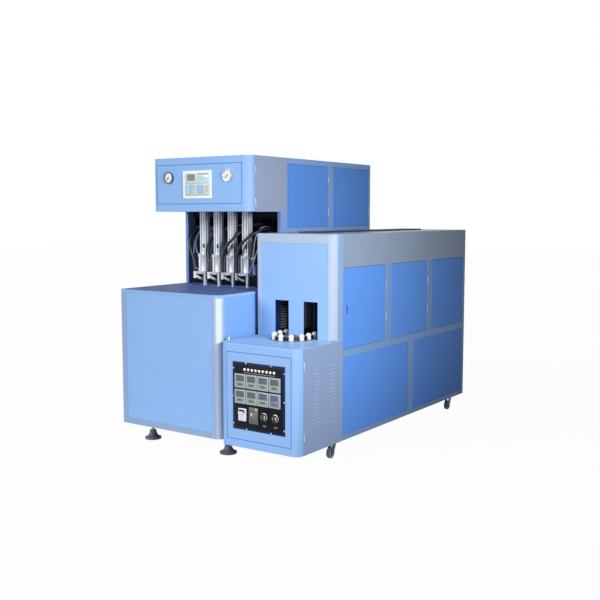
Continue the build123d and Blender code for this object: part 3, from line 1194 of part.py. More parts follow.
def track_ring(z, half_width):
    """A loop of even width round both wheels, following the chain's line."""
    length = REAR_WHEEL_Y - WHEEL_Y
    middle = Plane(origin=(LANE_MID, (WHEEL_Y + REAR_WHEEL_Y) / 2, z[0]))
    loop = Rot(0, 0, 90) * SlotCenterToCenter(length, 2 * (LANE_X + half_width))
    hollow = Rot(0, 0, 90) * SlotCenterToCenter(length, 2 * (LANE_X - half_width))
    return extrude(middle * (loop - hollow), amount=z[1] - z[0])


def carrier_deck():
    """Steel deck through the oven and the black track that guides the chain."""
    x = (HEATER_X0 + POST_DEPTH + RUN_GAP, HEATER_X1 - POST_DEPTH - RUN_GAP)
    deck = block(x, (CAB_FRONT + RUN_GAP, SIDE_LAST + DECK_PAST), (BOX_TOP - DECK_T, BOX_TOP))
    shaft_hole = upright(LANE_MID, REAR_WHEEL_Y, (BOX_TOP - DECK_T - CUT, BOX_TOP + CUT), SHAFT_R + RUN_GAP)
    return group([deck - shaft_hole, track_ring((BOX_TOP, TRACK_TOP), TRACK_W / 2)])


def chain_joints():
    """Centre of each holder, once round the loop, starting behind the front wheel."""
    step = 360 / WHEEL_HOLDERS
    joints = []
    for i in range(LANE_LINKS):
        joints.append((LANE_MID + LANE_X, WHEEL_Y + (i + 0.5) * LINK_PITCH))
    for i in range(WHEEL_HOLDERS // 2):
        angle = radians((i + 0.5) * step)
        joints.append((LANE_MID + LANE_X * cos(angle), REAR_WHEEL_Y + LANE_X * sin(angle)))
    for i in range(LANE_LINKS):
        joints.append((LANE_MID - LANE_X, REAR_WHEEL_Y - (i + 0.5) * LINK_PITCH))
    for i in range(WHEEL_HOLDERS // 2):
        angle = radians(180 + (i + 0.5) * step)
        joints.append((LANE_MID + LANE_X * cos(angle), WHEEL_Y + LANE_X * sin(angle)))
    return joints


def carrier_chain():
    """Tall narrow links round the loop, each reaching from one holder to the next."""
    joints = chain_joints()
    pieces = []
    for (x0, y0), (x1, y1) in zip(joints, joints[1:] + joints[:1]):
        reach = hypot(x1 - x0, y1 - y0) - 2 * (HOLDER_R + RUN_GAP)
        heading = degrees(atan2(y1 - y0, x1 - x0))
        middle = Pos((x0 + x1) / 2, (y0 + y1) / 2, TRACK_TOP + LINK_H / 2)
        pieces.append(middle * Rot(0, 0, heading) * Box(reach, LINK_T, LINK_H))
    return group(pieces)


def preform_holders():
    """White mandrels that carry the preforms by the neck, one on each chain joint."""
    body = extrude(RegularPolygon(HOLDER_R, 12), amount=HOLDER_H)
    top = extrude(RegularPolygon(HOLDER_TOP_R, 8), amount=HOLDER_TOP_H)
    holder = body + Pos(0, 0, HOLDER_H) * top
    return group([Pos(x, y, TRACK_TOP) * holder for x, y in chain_joints()])


def star_wheel(y):
    """Notched wheel that leads the holders round the end of the loop, on its shaft."""
    z = (TRACK_TOP + WHEEL_LIFT, TRACK_TOP + WHEEL_LIFT + WHEEL_T)
    wheel = upright(LANE_MID, y, z, LANE_X - HOLDER_R - WHEEL_TIP)
    notches = []
    for i in range(2 * WHEEL_HOLDERS):
        angle = radians(i * 180 / WHEEL_HOLDERS)
        x = LANE_MID + LANE_X * cos(angle)
        notches.append(upright(x, y + LANE_X * sin(angle), (z[0] - CUT, z[1] + CUT), NOTCH_R))
    wheel = wheel - notches
    hub = upright(LANE_MID, y, (z[1], z[1] + WHEEL_T), WHEEL_HUB_R)
    shaft = upright(LANE_MID, y, (BOX_TOP - SHAFT_DROP, z[0]), SHAFT_R)
    return fuse([wheel, hub, shaft])


def drive_motor():
    """Gear motor under the rear wheel, hung from the deck, and the front wheel's bearing."""
    top = BOX_TOP - DECK_T
    half_x, half_y = GEARBOX[0] / 2, GEARBOX[1] / 2
    gear_z = (top - GEARBOX[2], top)
    gear = block((LANE_MID - half_x, LANE_MID + half_x), (REAR_WHEEL_Y - half_y, REAR_WHEEL_Y + half_y), gear_z)
    motor = upright(LANE_MID, REAR_WHEEL_Y, (gear_z[0] - MOTOR_L, gear_z[0]), MOTOR_R)
    unit = gear + motor
    socket_low = BOX_TOP - SHAFT_DROP - RUN_GAP
    unit -= upright(LANE_MID, REAR_WHEEL_Y, (socket_low, top + CUT), SHAFT_R + RUN_GAP)
    bearing_z = (socket_low - BEARING_FLOOR, BOX_TOP - DOOR_SHEET)
    bearing = upright(LANE_MID, WHEEL_Y, bearing_z, BEARING_R)
    bearing -= upright(LANE_MID, WHEEL_Y, (socket_low, BOX_TOP), SHAFT_R + RUN_GAP)
    return group([unit, bearing])


def lamp_racks():
    """Infrared lamp tubes in rows beside each lane, between end brackets and reflectors."""
    pieces = []
    tube = extrude(Plane.XZ * RegularPolygon(LAMP_R, 8), amount=-1.0)
    low = BOX_TOP + RUN_GAP
    top = BOX_TOP + RACK_H
    bracket_z = (BOX_TOP + LAMP_FIRST - LAMP_PITCH / 2, top)
    bracket_reach = REFLECTOR_OFFSET - LAMP_OFFSET + 2 * LAMP_R
    inner = LANE_X - REFLECTOR_OFFSET - REFLECTOR_T
    for y0, y1 in DOOR_Y:
        span = (y0 + RACK_INSET, min(y1 - RACK_INSET, REAR_WHEEL_Y - LANE_X - RACK_WHEEL_GAP))
        lamp_span = (span[0] + RACK_END_T, span[1] - RACK_END_T)
        ends = ((span[0], lamp_span[0]), (lamp_span[1], span[1]))
        for sign in (-1, 1):
            plate = LANE_MID + sign * (LANE_X - REFLECTOR_OFFSET)
            pieces.append(block(sorted((plate, plate - sign * REFLECTOR_T)), span, (low, top)))
            for end in ends:
                pieces.append(block(sorted((plate, plate + sign * bracket_reach)), end, bracket_z))
            for row in range(LAMP_ROWS):
                z = BOX_TOP + LAMP_FIRST + row * LAMP_PITCH
                x = LANE_MID + sign * (LANE_X - LAMP_OFFSET)
                lamp = scale(tube, (1, lamp_span[1] - lamp_span[0], 1))
                pieces.append(Pos(x, lamp_span[0], z) * lamp)
        for end in ends:
            pieces.append(block((LANE_MID - inner, LANE_MID + inner), end, (low, top)))
    return group(pieces)


def caster_fork(x, y, heading):
    """Stamped swivel fork, with its bearing cup and the axle for the wheel."""
    top = HEATER_LIFT - CASTER_PLATE[2] - RUN_GAP
    cup = upright(0, 0, (top - SWIVEL_H, top), SWIVEL_R)
    crown_z = (top - SWIVEL_H - FORK_T, top - SWIVEL_H)
    crown_end = SWIVEL_R + FORK_HEEL
    crown = block((-SWIVEL_R, crown_end), (-FORK_W / 2, FORK_W / 2), crown_z)
    pieces = [cup, crown]
    for sign in (-1, 1):
        cheek_y = sorted((sign * FORK_W / 2, sign * (FORK_W / 2 - FORK_T)))
        toe = (CASTER_TRAIL - CHEEK_HALF, CASTER_TRAIL + CHEEK_HALF)
        outline = Polyline((-CHEEK_HALF, crown_z[0]), (crown_end, crown_z[0]), (toe[1], WHEEL_R + CHEEK_RISE),
                           (toe[1], WHEEL_R - CHEEK_DROP), (toe[0], WHEEL_R - CHEEK_DROP), close=True)
        cheek = extrude(Plane.XZ * make_face(outline), amount=-FORK_T)
        pieces.append(Pos(0, cheek_y[0], 0) * cheek)
    pieces.append(bar_along_y(CASTER_TRAIL, (-FORK_W / 2, FORK_W / 2), WHEEL_R, AXLE_R))
    return Pos(x, y, 0) * Rot(0, 0, heading) * fuse(pieces)


def caster_plate(x, y):
    """Fixed top plate of one caster, against the frame."""
    half_x, half_y = CASTER_PLATE[1] / 2, CASTER_PLATE[0] / 2
    z = (HEATER_LIFT - CASTER_PLATE[2], HEATER_LIFT)
    return block((x - half_x, x + half_x), (y - half_y, y + half_y), z)


def caster_wheel(x, y, heading):
    """Grey wheel with a crowned tread, on the fork's axle."""
    turn = radians(heading)
    centre = Pos(x + CASTER_TRAIL * cos(turn), y + CASTER_TRAIL * sin(turn), WHEEL_R)
    tyre = Rot(90, 0, 0) * Cylinder(WHEEL_R, WHEEL_W)
    tyre = chamfer(tyre.edges().filter_by(GeomType.CIRCLE), WHEEL_CHAMFER)
    bore = Rot(90, 0, 0) * Cylinder(AXLE_R + RUN_GAP, WHEEL_W + 2 * CUT)
    return centre * Rot(0, 0, heading) * (tyre - bore)


# Casters: place and the way each wheel trails
CASTERS = {
    "front_right": (CASTER_X[1], CASTER_Y[0], -90.0),
    "front_left": (CASTER_X[0], CASTER_Y[0], -90.0),
    "rear_right": (CASTER_X[1], CASTER_Y[1], -90.0),
    "rear_left": (CASTER_X[0], CASTER_Y[1], -90.0),
}


def build_nodes():
    """Every piece by its node name."""
    nodes = {
        "blow_frame": blow_frame(),
        "tower_frame": tower_frame(),
        "base_front_panel": base_front_panel(),
        "blow_fixed_panels": blow_fixed_panels(),
        "base_table": base_table(),
        "levelling_feet": levelling_feet(),
        "head_shell": head_shell(),
        "head_door": head_door(),
        "head_instruments": head_instruments(),
        "stretch_cylinders": stretch_cylinders(),
        "seal_cylinders": seal_cylinders(),
        "filter_regulator": filter_regulator(),
        "valve_panel": valve_panel(),
        "mould_front": mould_half(-1),
        "mould_rear": mould_half(1),
        "mould_clamp": mould_clamp(),
        "heater_frame": heater_frame(),
        "heater_front_panel": heater_front_panel(),
        "heater_top_cover": heater_top_cover(),
        "top_vents": top_vents(),
        "heater_fixed_panels": heater_fixed_panels(),
        "control_box": control_box(),
        "control_door": control_door(),
        "instrument_panel": instrument_panel(),
        "breaker_toggle": breaker_toggle(),
        "carrier_deck": carrier_deck(),
        "carrier_chain": carrier_chain(),
        "preform_holders": preform_holders(),
        "star_wheel_front": star_wheel(WHEEL_Y),
        "star_wheel_rear": star_wheel(REAR_WHEEL_Y),
        "drive_motor": drive_motor(),
        "lamp_racks": lamp_racks(),
    }
    for i in range(2):
        nodes[f"gauge_needle_{i + 1}"] = gauge_needle(i)
        nodes[f"tower_door_{i + 1}"] = tower_door(i)
        nodes[f"panel_knob_{i + 1}"] = panel_knob(i)
    for i in range(DOOR_COUNT):
        nodes[f"heater_door_{i + 1}"] = heater_door(i)
    for i in range(STATION_COUNT):
        nodes[f"blow_nozzle_{i + 1}"] = blow_nozzle(i)
        nodes[f"stretch_rod_{i + 1}"] = stretch_rod(i)
        nodes[f"air_hose_{i + 1}"] = air_hose(i)
    for name, place in CASTERS.items():
        if name.startswith("front"):
            nodes[f"caster_fork_{name}"] = caster_fork(*place)
        nodes[f"caster_wheel_{name}"] = caster_wheel(*place)
    plates = [caster_plate(x, y) for x, y, _ in CASTERS.values()]
    rear_forks = [caster_fork(*CASTERS[name]) for name in ("rear_right", "rear_left")]
    nodes["caster_mounts"] = group(plates + rear_forks)
    return nodes


NODES = build_nodes()
EXTENT = Compound(children=[solid for shape in NODES.values() for solid in shape.solids()]).bounding_box()
ORIGIN = Vector((EXTENT.min.X + EXTENT.max.X) / 2, (EXTENT.min.Y + EXTENT.max.Y) / 2, 0)

for node_name, node_shape in NODES.items():
    placed = Location(-ORIGIN) * Compound(children=list(node_shape.solids()))
    export_step(placed, f"parts/{node_name}.step")
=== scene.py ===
from math import cos, pi, radians, sin

import bmesh
import bpy
from mathutils import Matrix, Vector


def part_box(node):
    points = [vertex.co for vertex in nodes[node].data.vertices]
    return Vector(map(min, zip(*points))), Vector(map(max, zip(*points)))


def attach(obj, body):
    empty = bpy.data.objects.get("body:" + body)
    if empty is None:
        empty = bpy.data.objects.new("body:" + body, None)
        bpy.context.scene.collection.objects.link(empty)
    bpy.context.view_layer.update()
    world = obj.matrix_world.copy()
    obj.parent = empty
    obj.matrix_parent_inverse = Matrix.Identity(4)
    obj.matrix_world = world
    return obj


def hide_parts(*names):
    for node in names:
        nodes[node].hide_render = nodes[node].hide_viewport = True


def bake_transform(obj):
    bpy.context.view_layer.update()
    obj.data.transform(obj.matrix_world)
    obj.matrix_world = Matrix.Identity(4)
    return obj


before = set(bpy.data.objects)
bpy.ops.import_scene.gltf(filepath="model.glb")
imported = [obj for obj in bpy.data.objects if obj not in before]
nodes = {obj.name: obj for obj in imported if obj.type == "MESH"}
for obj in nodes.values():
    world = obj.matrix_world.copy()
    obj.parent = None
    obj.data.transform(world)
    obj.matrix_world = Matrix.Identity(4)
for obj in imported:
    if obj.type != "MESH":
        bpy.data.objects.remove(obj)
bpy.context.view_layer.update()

# Camera, lamps and floor. The camera looks from the front right at eye level, as a
# visitor to the workshop would. Places are given in millimetres from the blow unit's
# front left corner on the floor, which the table plate's own corner shows.
table_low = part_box("base_table")[0]
CORNER = Vector((table_low.x, table_low.y, 0))


def at(x, y, z):
    """A point of the frame, from millimetres off the blow unit's front left corner."""
    return CORNER + Vector((x, y, z)) / 1000


def put(name, data):
    """A new object in the scene."""
    thing = bpy.data.objects.new(name, data)
    bpy.context.scene.collection.objects.link(thing)
    return thing


EYE_TURN = radians(34.698)
EYE_DIP = radians(5.604)
LENS_MM = 52.74
SENSOR_MM = 36.0

camera_data = bpy.data.cameras.new("camera")
camera_data.lens = LENS_MM
camera_data.sensor_width = SENSOR_MM
camera_data.clip_end = 60
camera = put("camera", camera_data)
camera.location = at(4429, -4242, 1566)
camera.rotation_euler = (pi / 2 - EYE_DIP, 0, EYE_TURN)
bpy.context.scene.camera = camera
bpy.context.scene.view_settings.view_transform = "Standard"


def linear(hex_colour):
    """An sRGB hex colour as the linear values that shaders read."""
    values = [int(hex_colour[i:i + 2], 16) / 255 for i in (1, 3, 5)]
    return tuple(v / 12.92 if v <= 0.04045 else ((v + 0.055) / 1.055) ** 2.4 for v in values) + (1.0,)


def add(tree, kind, inputs=(), links=(), **settings):
    """Adds one shader node with its settings, input values and links, and gives its outputs."""
    new = tree.nodes.new(kind)
    for name, value in settings.items():
        setattr(new, name, value)
    for name, value in dict(inputs).items():
        new.inputs[name].default_value = value
    for name, source in dict(links).items():
        tree.links.new(source, new.inputs[name])
    return new.outputs


def bare_material(name):
    """A material with no shader nodes yet."""
    material = bpy.data.materials.new(name)
    material.use_nodes = True
    material.node_tree.nodes.clear()
    return material


# The world is plain white where the camera, a mirror or glass looks at it.
world = bpy.data.worlds.new("studio")
bpy.context.scene.world = world
world.use_nodes = True
tree = world.node_tree
tree.nodes.clear()
glow = add(tree, "ShaderNodeBackground", {"Color": linear("#dfe6f2"), "Strength": 0.16})[0]
white = add(tree, "ShaderNodeBackground", {"Color": (1, 1, 1, 1), "Strength": 1.0})[0]
rays = add(tree, "ShaderNodeLightPath")
seen = rays["Is Camera Ray"]
for ray in ("Is Glossy Ray", "Is Transmission Ray"):
    seen = add(tree, "ShaderNodeMath", links={0: seen, 1: rays[ray]}, operation="MAXIMUM")[0]
sky = add(tree, "ShaderNodeMixShader", links={0: seen, 1: glow, 2: white})[0]
add(tree, "ShaderNodeOutputWorld", links={"Surface": sky})


def lamp(name, kind, place, target, energy, **settings):
    """A soft lamp at one point, aimed at another."""
    data = bpy.data.lights.new(name, kind)
    data.energy = energy
    for setting, value in settings.items():
        setattr(data, setting, value)
    holder = put(name, data)
    holder.location = place
    holder.rotation_euler = (target - place).to_track_quat("-Z", "Y").to_euler()


lamp("front_window", "SUN", at(-2200, -5600, 3900), at(600, 0, 900), 2.0, angle=radians(30))
lamp("side_softbox", "SPOT", at(5200, -1400, 2200), at(1200, 200, 1290), 870, spot_size=radians(48),
     spot_blend=1.0, shadow_soft_size=0.6)

FLOOR_SIZE = 60.0
FLOOR_DROP = 0.0005
EYE_SHARE = 0.97
bpy.ops.mesh.primitive_plane_add(size=FLOOR_SIZE, location=(0, 0, -FLOOR_DROP))
floor = bpy.context.object
floor.name = "floor"
floor_paint = bare_material("pale_floor")
tree = floor_paint.node_tree
matt = add(tree, "ShaderNodeBsdfDiffuse", {"Color": linear("#f4f6f8")})[0]
bright = add(tree, "ShaderNodeEmission", {"Color": (1, 1, 1, 1), "Strength": 1.0})[0]
rays = add(tree, "ShaderNodeLightPath")
both = {0: rays["Is Glossy Ray"], 1: rays["Is Transmission Ray"]}
mirrored = add(tree, "ShaderNodeMath", links=both, operation="MAXIMUM")[0]
seen = add(tree, "ShaderNodeMath", {1: EYE_SHARE}, {0: rays["Is Camera Ray"]}, operation="MULTIPLY")[0]
lit = add(tree, "ShaderNodeMixShader", links={0: mirrored, 1: matt, 2: bright})[0]
lit = add(tree, "ShaderNodeMixShader", links={0: seen, 1: lit, 2: bright})[0]
add(tree, "ShaderNodeOutputMaterial", links={"Surface": lit})
floor.data.materials.append(floor_paint)

# Air hoses. Black rubber pressure hose, 20 mm across, pushed on a white elbow at each
# nozzle; it arcs past the cylinders into the tower, to a port on the valve block.
HOSE_DIAMETER = 0.020
HOSE_ROUTES = (
    ((186, 550, 1152), (186, 550, 1222), (150, 562, 1290), (100, 592, 1350), (78, 645, 1410),
     (96, 715, 1456), (160, 780, 1480), (245, 828, 1478), (330, 882, 1455), (390, 970, 1425),
     (390, 1050, 1425)),
    ((315, 550, 1152), (315, 550, 1222), (302, 561, 1290), (290, 592, 1352), (287, 645, 1412),
     (300, 712, 1460), (340, 784, 1484), (395, 850, 1480), (446, 912, 1456), (480, 980, 1425),
     (480, 1050, 1425)),
    ((444, 550, 1152), (444, 550, 1215), (452, 548, 1282), (484, 546, 1338), (530, 546, 1382),
     (570, 572, 1424), (584, 625, 1462), (600, 695, 1488), (622, 775, 1494), (655, 850, 1484),
     (678, 925, 1460), (690, 985, 1425), (690, 1050, 1425)),
    ((573, 550, 1152), (573, 550, 1215), (580, 548, 1280), (606, 545, 1340), (650, 545, 1386),
     (698, 566, 1422), (728, 616, 1450), (740, 682, 1466), (750, 760, 1468), (762, 840, 1460),
     (774, 915, 1444), (780, 985, 1425), (780, 1050, 1425)),
)
DUST_PATCH_MM = 26


def inside(tree, place, low, high, soft_mm):
    """Where a surface point lies between two corners given in mm, fading out over a few mm."""
    middle, half = (at(*low) + at(*high)) / 2, (at(*high) - at(*low)) / 2
    away = add(tree, "ShaderNodeVectorMath", {1: middle}, {0: place}, operation="SUBTRACT")[0]
    away = add(tree, "ShaderNodeVectorMath", links={0: away}, operation="ABSOLUTE")[0]
    depth = add(tree, "ShaderNodeVectorMath", {0: half}, {1: away}, operation="SUBTRACT")[0]
    least, *others = add(tree, "ShaderNodeSeparateXYZ", links={0: depth})
    for other in others:
        least = add(tree, "ShaderNodeMath", links={0: least, 1: other}, operation="MINIMUM")[0]
    fade = {"From Min": 0.0, "From Max": soft_mm / 1000}
    return add(tree, "ShaderNodeMapRange", fade, {"Value": least})[0]


def surface(name, light, dark, mottle_mm, roughness, grain=1.0, depth=0.02, metal=0.0, coat=0.0, gloss=0.5,
            stretch=(1, 1, 1), dust=None, dust_share=0.3, zones=()):
    """A finish that drifts between two tones, with a fine relief in mm, dust and zones of other colour: other
    paint, and painted light and shade.
    """
    material = bare_material(name)
    tree = material.node_tree
    place = add(tree, "ShaderNodeTexCoord")["Object"]
    mapped = add(tree, "ShaderNodeMapping", {"Scale": stretch}, {"Vector": place})[0]
    clouds = {"Scale": 1000 / mottle_mm, "Detail": 5.0, "Roughness": 0.6}
    mottle = add(tree, "ShaderNodeTexNoise", clouds, {"Vector": mapped})["Fac"]
    colour = add(tree, "ShaderNodeMix", {6: linear(dark), 7: linear(light)}, {0: mottle}, data_type="RGBA")[2]
    # Each zone lays its colour over the finish; some zones are another paint, others painted light and shade.
    for low, high, paint, soft_mm in zones:
        share = inside(tree, place, low, high, soft_mm)
        colour = add(tree, "ShaderNodeMix", {7: linear(paint)}, {0: share, 6: colour}, data_type="RGBA")[2]
    if dust:
        normal = add(tree, "ShaderNodeNewGeometry")["Normal"]
        upward = add(tree, "ShaderNodeSeparateXYZ", links={0: normal})["Z"]
        level = {"From Min": 0.2, "From Max": 1.0, "To Min": 0.02, "To Max": 1.0}
        lying = add(tree, "ShaderNodeMapRange", level, {"Value": upward})[0]
        specks = {"Scale": 1000 / DUST_PATCH_MM, "Detail": 8.0, "Roughness": 0.72}
        speckled = add(tree, "ShaderNodeTexNoise", specks, {"Vector": place})["Fac"]
        patches = {"From Min": 0.42, "From Max": 0.72, "To Max": dust_share}
        patchy = add(tree, "ShaderNodeMapRange", patches, {"Value": speckled})[0]
        share = add(tree, "ShaderNodeMath", links={0: lying, 1: patchy}, operation="MULTIPLY")[0]
        colour = add(tree, "ShaderNodeMix", {7: linear(dust)}, {0: share, 6: colour}, data_type="RGBA")[2]
    fine = add(tree, "ShaderNodeTexNoise", {"Scale": 1000 / grain, "Detail": 2.0}, {"Vector": mapped})["Fac"]
    relief = add(tree, "ShaderNodeBump", {"Strength": 0.35, "Distance": depth / 1000}, {"Height": fine})[0]
    wear = {"From Min": 0.3, "From Max": 0.7, "To Min": roughness * 0.8, "To Max": min(1.0, roughness * 1.25)}
    worn = add(tree, "ShaderNodeMapRange", wear, {"Value": mottle})[0]
    even = {"Metallic": metal, "Coat Weight": coat, "Coat Roughness": 0.12, "Specular IOR Level": gloss}
    varied = {"Base Color": colour, "Normal": relief, "Roughness": worn}
    shader = add(tree, "ShaderNodeBsdfPrincipled", even, varied)[0]
    add(tree, "ShaderNodeOutputMaterial", links={"Surface": shader})
    return material


def soft_line(places, thickness):
    """A smooth line through some places, as a bare line or as a tube of a given radius."""
    data = bpy.data.curves.new("line", "CURVE")
    data.dimensions = "3D"
    data.resolution_u = 10
    data.bevel_depth = thickness
    data.bevel_resolution = 5
    data.use_fill_caps = thickness > 0
    spline = data.splines.new("NURBS")
    spline.points.add(len(places) - 1)
    for point, place in zip(spline.points, places):
        point.co = (*place, 1.0)
    spline.order_u = 3
    spline.use_endpoint_u = True
    line = put("line", data)
    bpy.context.view_layer.update()
    mesh = bpy.data.meshes.new_from_object(line)
    bpy.data.objects.remove(line)
    return mesh


# Extruded rubber: dull black with a faint wrapped-cloth ridge every 2 mm.
hose_rubber = surface("extruded_rubber", "#23262a", "#131417", 9, 0.38, grain=2.0, depth=0.12)
for i in range(4):
    route = [at(*place) for place in HOSE_ROUTES[i]]
    path = [tuple(v.co) for v in soft_line(route, 0).vertices]
    hose = put(f"pressure_hose_{i + 1}", soft_line(route, HOSE_DIAMETER / 2))
    hose.data.shade_smooth()
    hose.data.materials.append(hose_rubber)
    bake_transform(hose)
    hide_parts(f"air_hose_{i + 1}")


# Sheet-metal cabinets and frames. Folded steel, sprayed with gloss enamel: light blue
# on the fronts, pale grey on the frames. The doors and side sheets have the same blue made
# deeper as painted shade, where they turn from the light. Socket screws hold the table
# down to the rails, and pan screws the tower's top rail.


def dress(material, *names):
    """Gives CAD nodes their finish."""
    for name in names:
        nodes[name].data.materials.clear()
        nodes[name].data.materials.append(material)


def only(*pieces):
    """Selects these pieces and nothing else, the first as the active one."""
    for other in bpy.context.selected_objects:
        other.select_set(False)
    for piece in pieces:
        piece.select_set(True)
    bpy.context.view_layer.objects.active = pieces[0]


def settle(piece):
    """Puts a piece's place and turn into its mesh, and leaves its object at the origin."""
    only(piece)
    bpy.ops.object.transform_apply(location=True, rotation=True, scale=True)
    return piece


def turned(name, rings, place, toward=(0, 0, 1), sides=32):
    """A lathe-turned piece: rings of (radius, height) in mm along one direction, closed at both ends."""
    bpy.ops.mesh.primitive_circle_add(vertices=sides, radius=rings[0][0] / 1000, fill_type="NGON")
    piece = bpy.context.object
    piece.name = name
    only(piece)
    bpy.ops.object.mode_set(mode="EDIT")
    bpy.ops.mesh.select_all(action="SELECT")
    bpy.ops.transform.translate(value=(0, 0, rings[0][1] / 1000))
    for (before, low), (radius, high) in zip(rings, rings[1:]):
        bpy.ops.mesh.extrude_region_move(TRANSFORM_OT_translate={"value": (0, 0, (high - low) / 1000)})
        bpy.ops.transform.resize(value=(radius / before, radius / before, 1))
    bpy.ops.mesh.select_all(action="SELECT")
    bpy.ops.mesh.normals_make_consistent(inside=False)
    bpy.ops.object.mode_set(mode="OBJECT")
    piece.rotation_euler = Vector(toward).to_track_quat("Z", "Y").to_euler()
    piece.location = at(*place)
    return settle(piece)


def again(piece, shift=(0, 0, 0), turn=0.0, about=(0, 0, 0), axis="Y"):
    """A copy with its own mesh, turned in degrees about a point and then moved, in mm."""
    twin = put(piece.name, piece.data.copy())
    centre = Matrix.Translation(at(*about))
    spin = centre @ Matrix.Rotation(radians(turn), 4, axis) @ centre.inverted()
    twin.data.transform(Matrix.Translation(Vector(shift) / 1000) @ spin)
    return twin


def gather(name, pieces):
    """Joins like pieces into one."""
    only(*pieces)
    bpy.ops.object.join()
    pieces[0].name = name
    return pieces[0]


def moves_to(places):
    """How far each place lies from the first one."""
    return [[there - here for here, there in zip(places[0], place)] for place in places]


def repeated(name, pattern, moves):
    """Copies of a piece after some moves in mm, joined into one; the pattern itself goes."""
    copies = [again(pattern, move) for move in moves]
    bpy.data.objects.remove(pattern)
    return gather(name, copies)


def fit(piece, material, body="machine", smooth=32):
    """Finishes a piece: its material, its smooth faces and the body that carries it."""
    only(piece)
    bpy.ops.object.shade_smooth_by_angle(angle=radians(smooth))
    piece.data.materials.clear()
    piece.data.materials.append(material)
    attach(piece, body)
    return piece


def pan_screws(name, places, toward, radius=4.5, sides=14):
    """A row of pan-head screws with a hexagon socket, all looking one way."""
    rings = ((radius, -0.6), (radius, 0.9), (radius * 0.82, 2.0), (radius * 0.5, 2.4), (radius * 0.46, 1.0))
    return repeated(name, turned("screw", rings, places[0], toward, sides), moves_to(places))


# Sprayed satin enamel: an even coat with a faint orange peel, and dust on what lies flat.
# Inside the tower the same sheets and posts are near-black, as painted shade. Inside the
# oven they are a deeper blue, and the control box is a darker grey-blue inside.
TOWER_INSIDE_SHADE = ((3, 745, 1053), (868, 1876, 1947), "#0c1322", 0.5)
TOWER_POST_INSIDE_SHADE = ((24.9, 663, 1053), (846.1, 1877, 1947), "#131b2c", 0.5)
OVEN_INSIDE = ((907, 366, 772), (1503, 2301, 1437), "#3c5fae", 0.5)
OVEN_FRAME_INSIDE = ((909, 462, 772), (1501, 2301, 1437), "#3c5fae", 0.5)
# The blow frame's rounded front right post is paler: painted highlight where it turns to the light.
BASE_CORNER_HIGHLIGHT = ((800, -1, 90), (872, 78, 1035), "#d6e3f4", 6)
# The heater frame's front strips are paler than its sides: painted light on the faces that look to the front.
FRONT_STRIPS_PAINTED_LIGHT = ((903, 350, 768), (1507, 461, 1440), "#adbcd2", 4)
BOX_INSIDE = ((908, 17, 119), (1502, 355, 765), "#4c5f86", 0.5)
# The control box roof is painted light blue, with painted reflection of the heater's blue front in its tone.
BOX_ROOF_PAINT_AND_REFLECTION = ((900, -45, 766), (1510, 470, 771), "#9cc6f5", 0.5)
TABLE_EDGE = ((-1, -1, 1030), (872, 746, 1052.6), "#94b5e6", 0.5)


def enamel(name, light, dark, dust, share, gloss, *zones):
    """Sprayed enamel on folded sheet."""
    return surface(f"sprayed_{name}_enamel", light, dark, 420, 0.34, grain=4.0, dust=dust, dust_share=share,
                   gloss=gloss, zones=zones)


dress(enamel("light_blue", "#94bbec", "#8eb5e8", "#c3cedd", 0.25, 0.1, OVEN_INSIDE),
      "base_front_panel", "head_door", "heater_front_panel", "control_door")
# Side sheets and doors: the fronts' blue made deeper as painted shade, a little on the blow unit's sides and
# more on the tower and oven.
dress(enamel("side_blue_painted_shade", "#82afe8", "#7ba8e2", "#b4c2d6", 0.25, 0.1, TOWER_INSIDE_SHADE), "blow_fixed_panels")
dress(enamel("deep_blue_painted_shade", "#6197e5", "#598fdf", "#aab6c8", 0.3, 0.03, TOWER_INSIDE_SHADE, OVEN_INSIDE),
      "tower_door_1", "tower_door_2", "heater_fixed_panels", *[f"heater_door_{i + 1}" for i in range(3)])
dress(enamel("grey", "#98adcf", "#8fa5c9", "#c8cdd6", 0.3, 0.16, BASE_CORNER_HIGHLIGHT), "blow_frame")
dress(enamel("steel_blue", "#789bc8", "#7194c2", "#b8c2d2", 0.3, 0.1, FRONT_STRIPS_PAINTED_LIGHT, OVEN_FRAME_INSIDE),
      "heater_frame")
dress(enamel("tower_blue", "#84a6da", "#7c9ed3", "#b8c2d2", 0.3, 0.1, TOWER_POST_INSIDE_SHADE), "tower_frame")
dress(enamel("mid_grey", "#95a4bf", "#8c9bb7", "#b9c0ca", 0.4, 0.12), "head_shell")
dress(enamel("cap_grey", "#8c9cb1", "#8393a8", "#b9c0ca", 0.4, 0.1, OVEN_INSIDE), "heater_top_cover")
dress(enamel("box_grey", "#8c9fc1", "#8397ba", "#b9c0ca", 0.3, 0.12, BOX_INSIDE, BOX_ROOF_PAINT_AND_REFLECTION), "control_box")
# Ground steel table, painted light blue round its edge; the dull dark grey-blue of its top
# is painted shade, as little light falls on it from above.
shaded_table_steel = surface("ground_steel_table_painted_shade", "#586fa5", "#4e639a", 90, 0.5, grain=2.0, gloss=0.05,
                      zones=[TABLE_EDGE])
dress(shaded_table_steel, "base_table")

# Bright zinc plating: a cool grey metal with a faint yellowish bloom in patches.
zinc_plate = surface("zinc_plated_steel", "#cdd1d6", "#a9adb0", 14, 0.33, grain=0.8, metal=0.9)
RAIL_SCREWS = [(871, y, 1932) for y in (704, 782, 1198, 1600, 1842)]
TABLE_SCREWS = [(x, y, 1054) for x in (60, 180, 436, 690, 811) for y in (505, 695)]
fit(pan_screws("tower_rail_screws", RAIL_SCREWS, (1, 0, 0)), zinc_plate)
fit(pan_screws("table_socket_screws", TABLE_SCREWS, (0, 0, 1), 6.5, 18), zinc_plate)

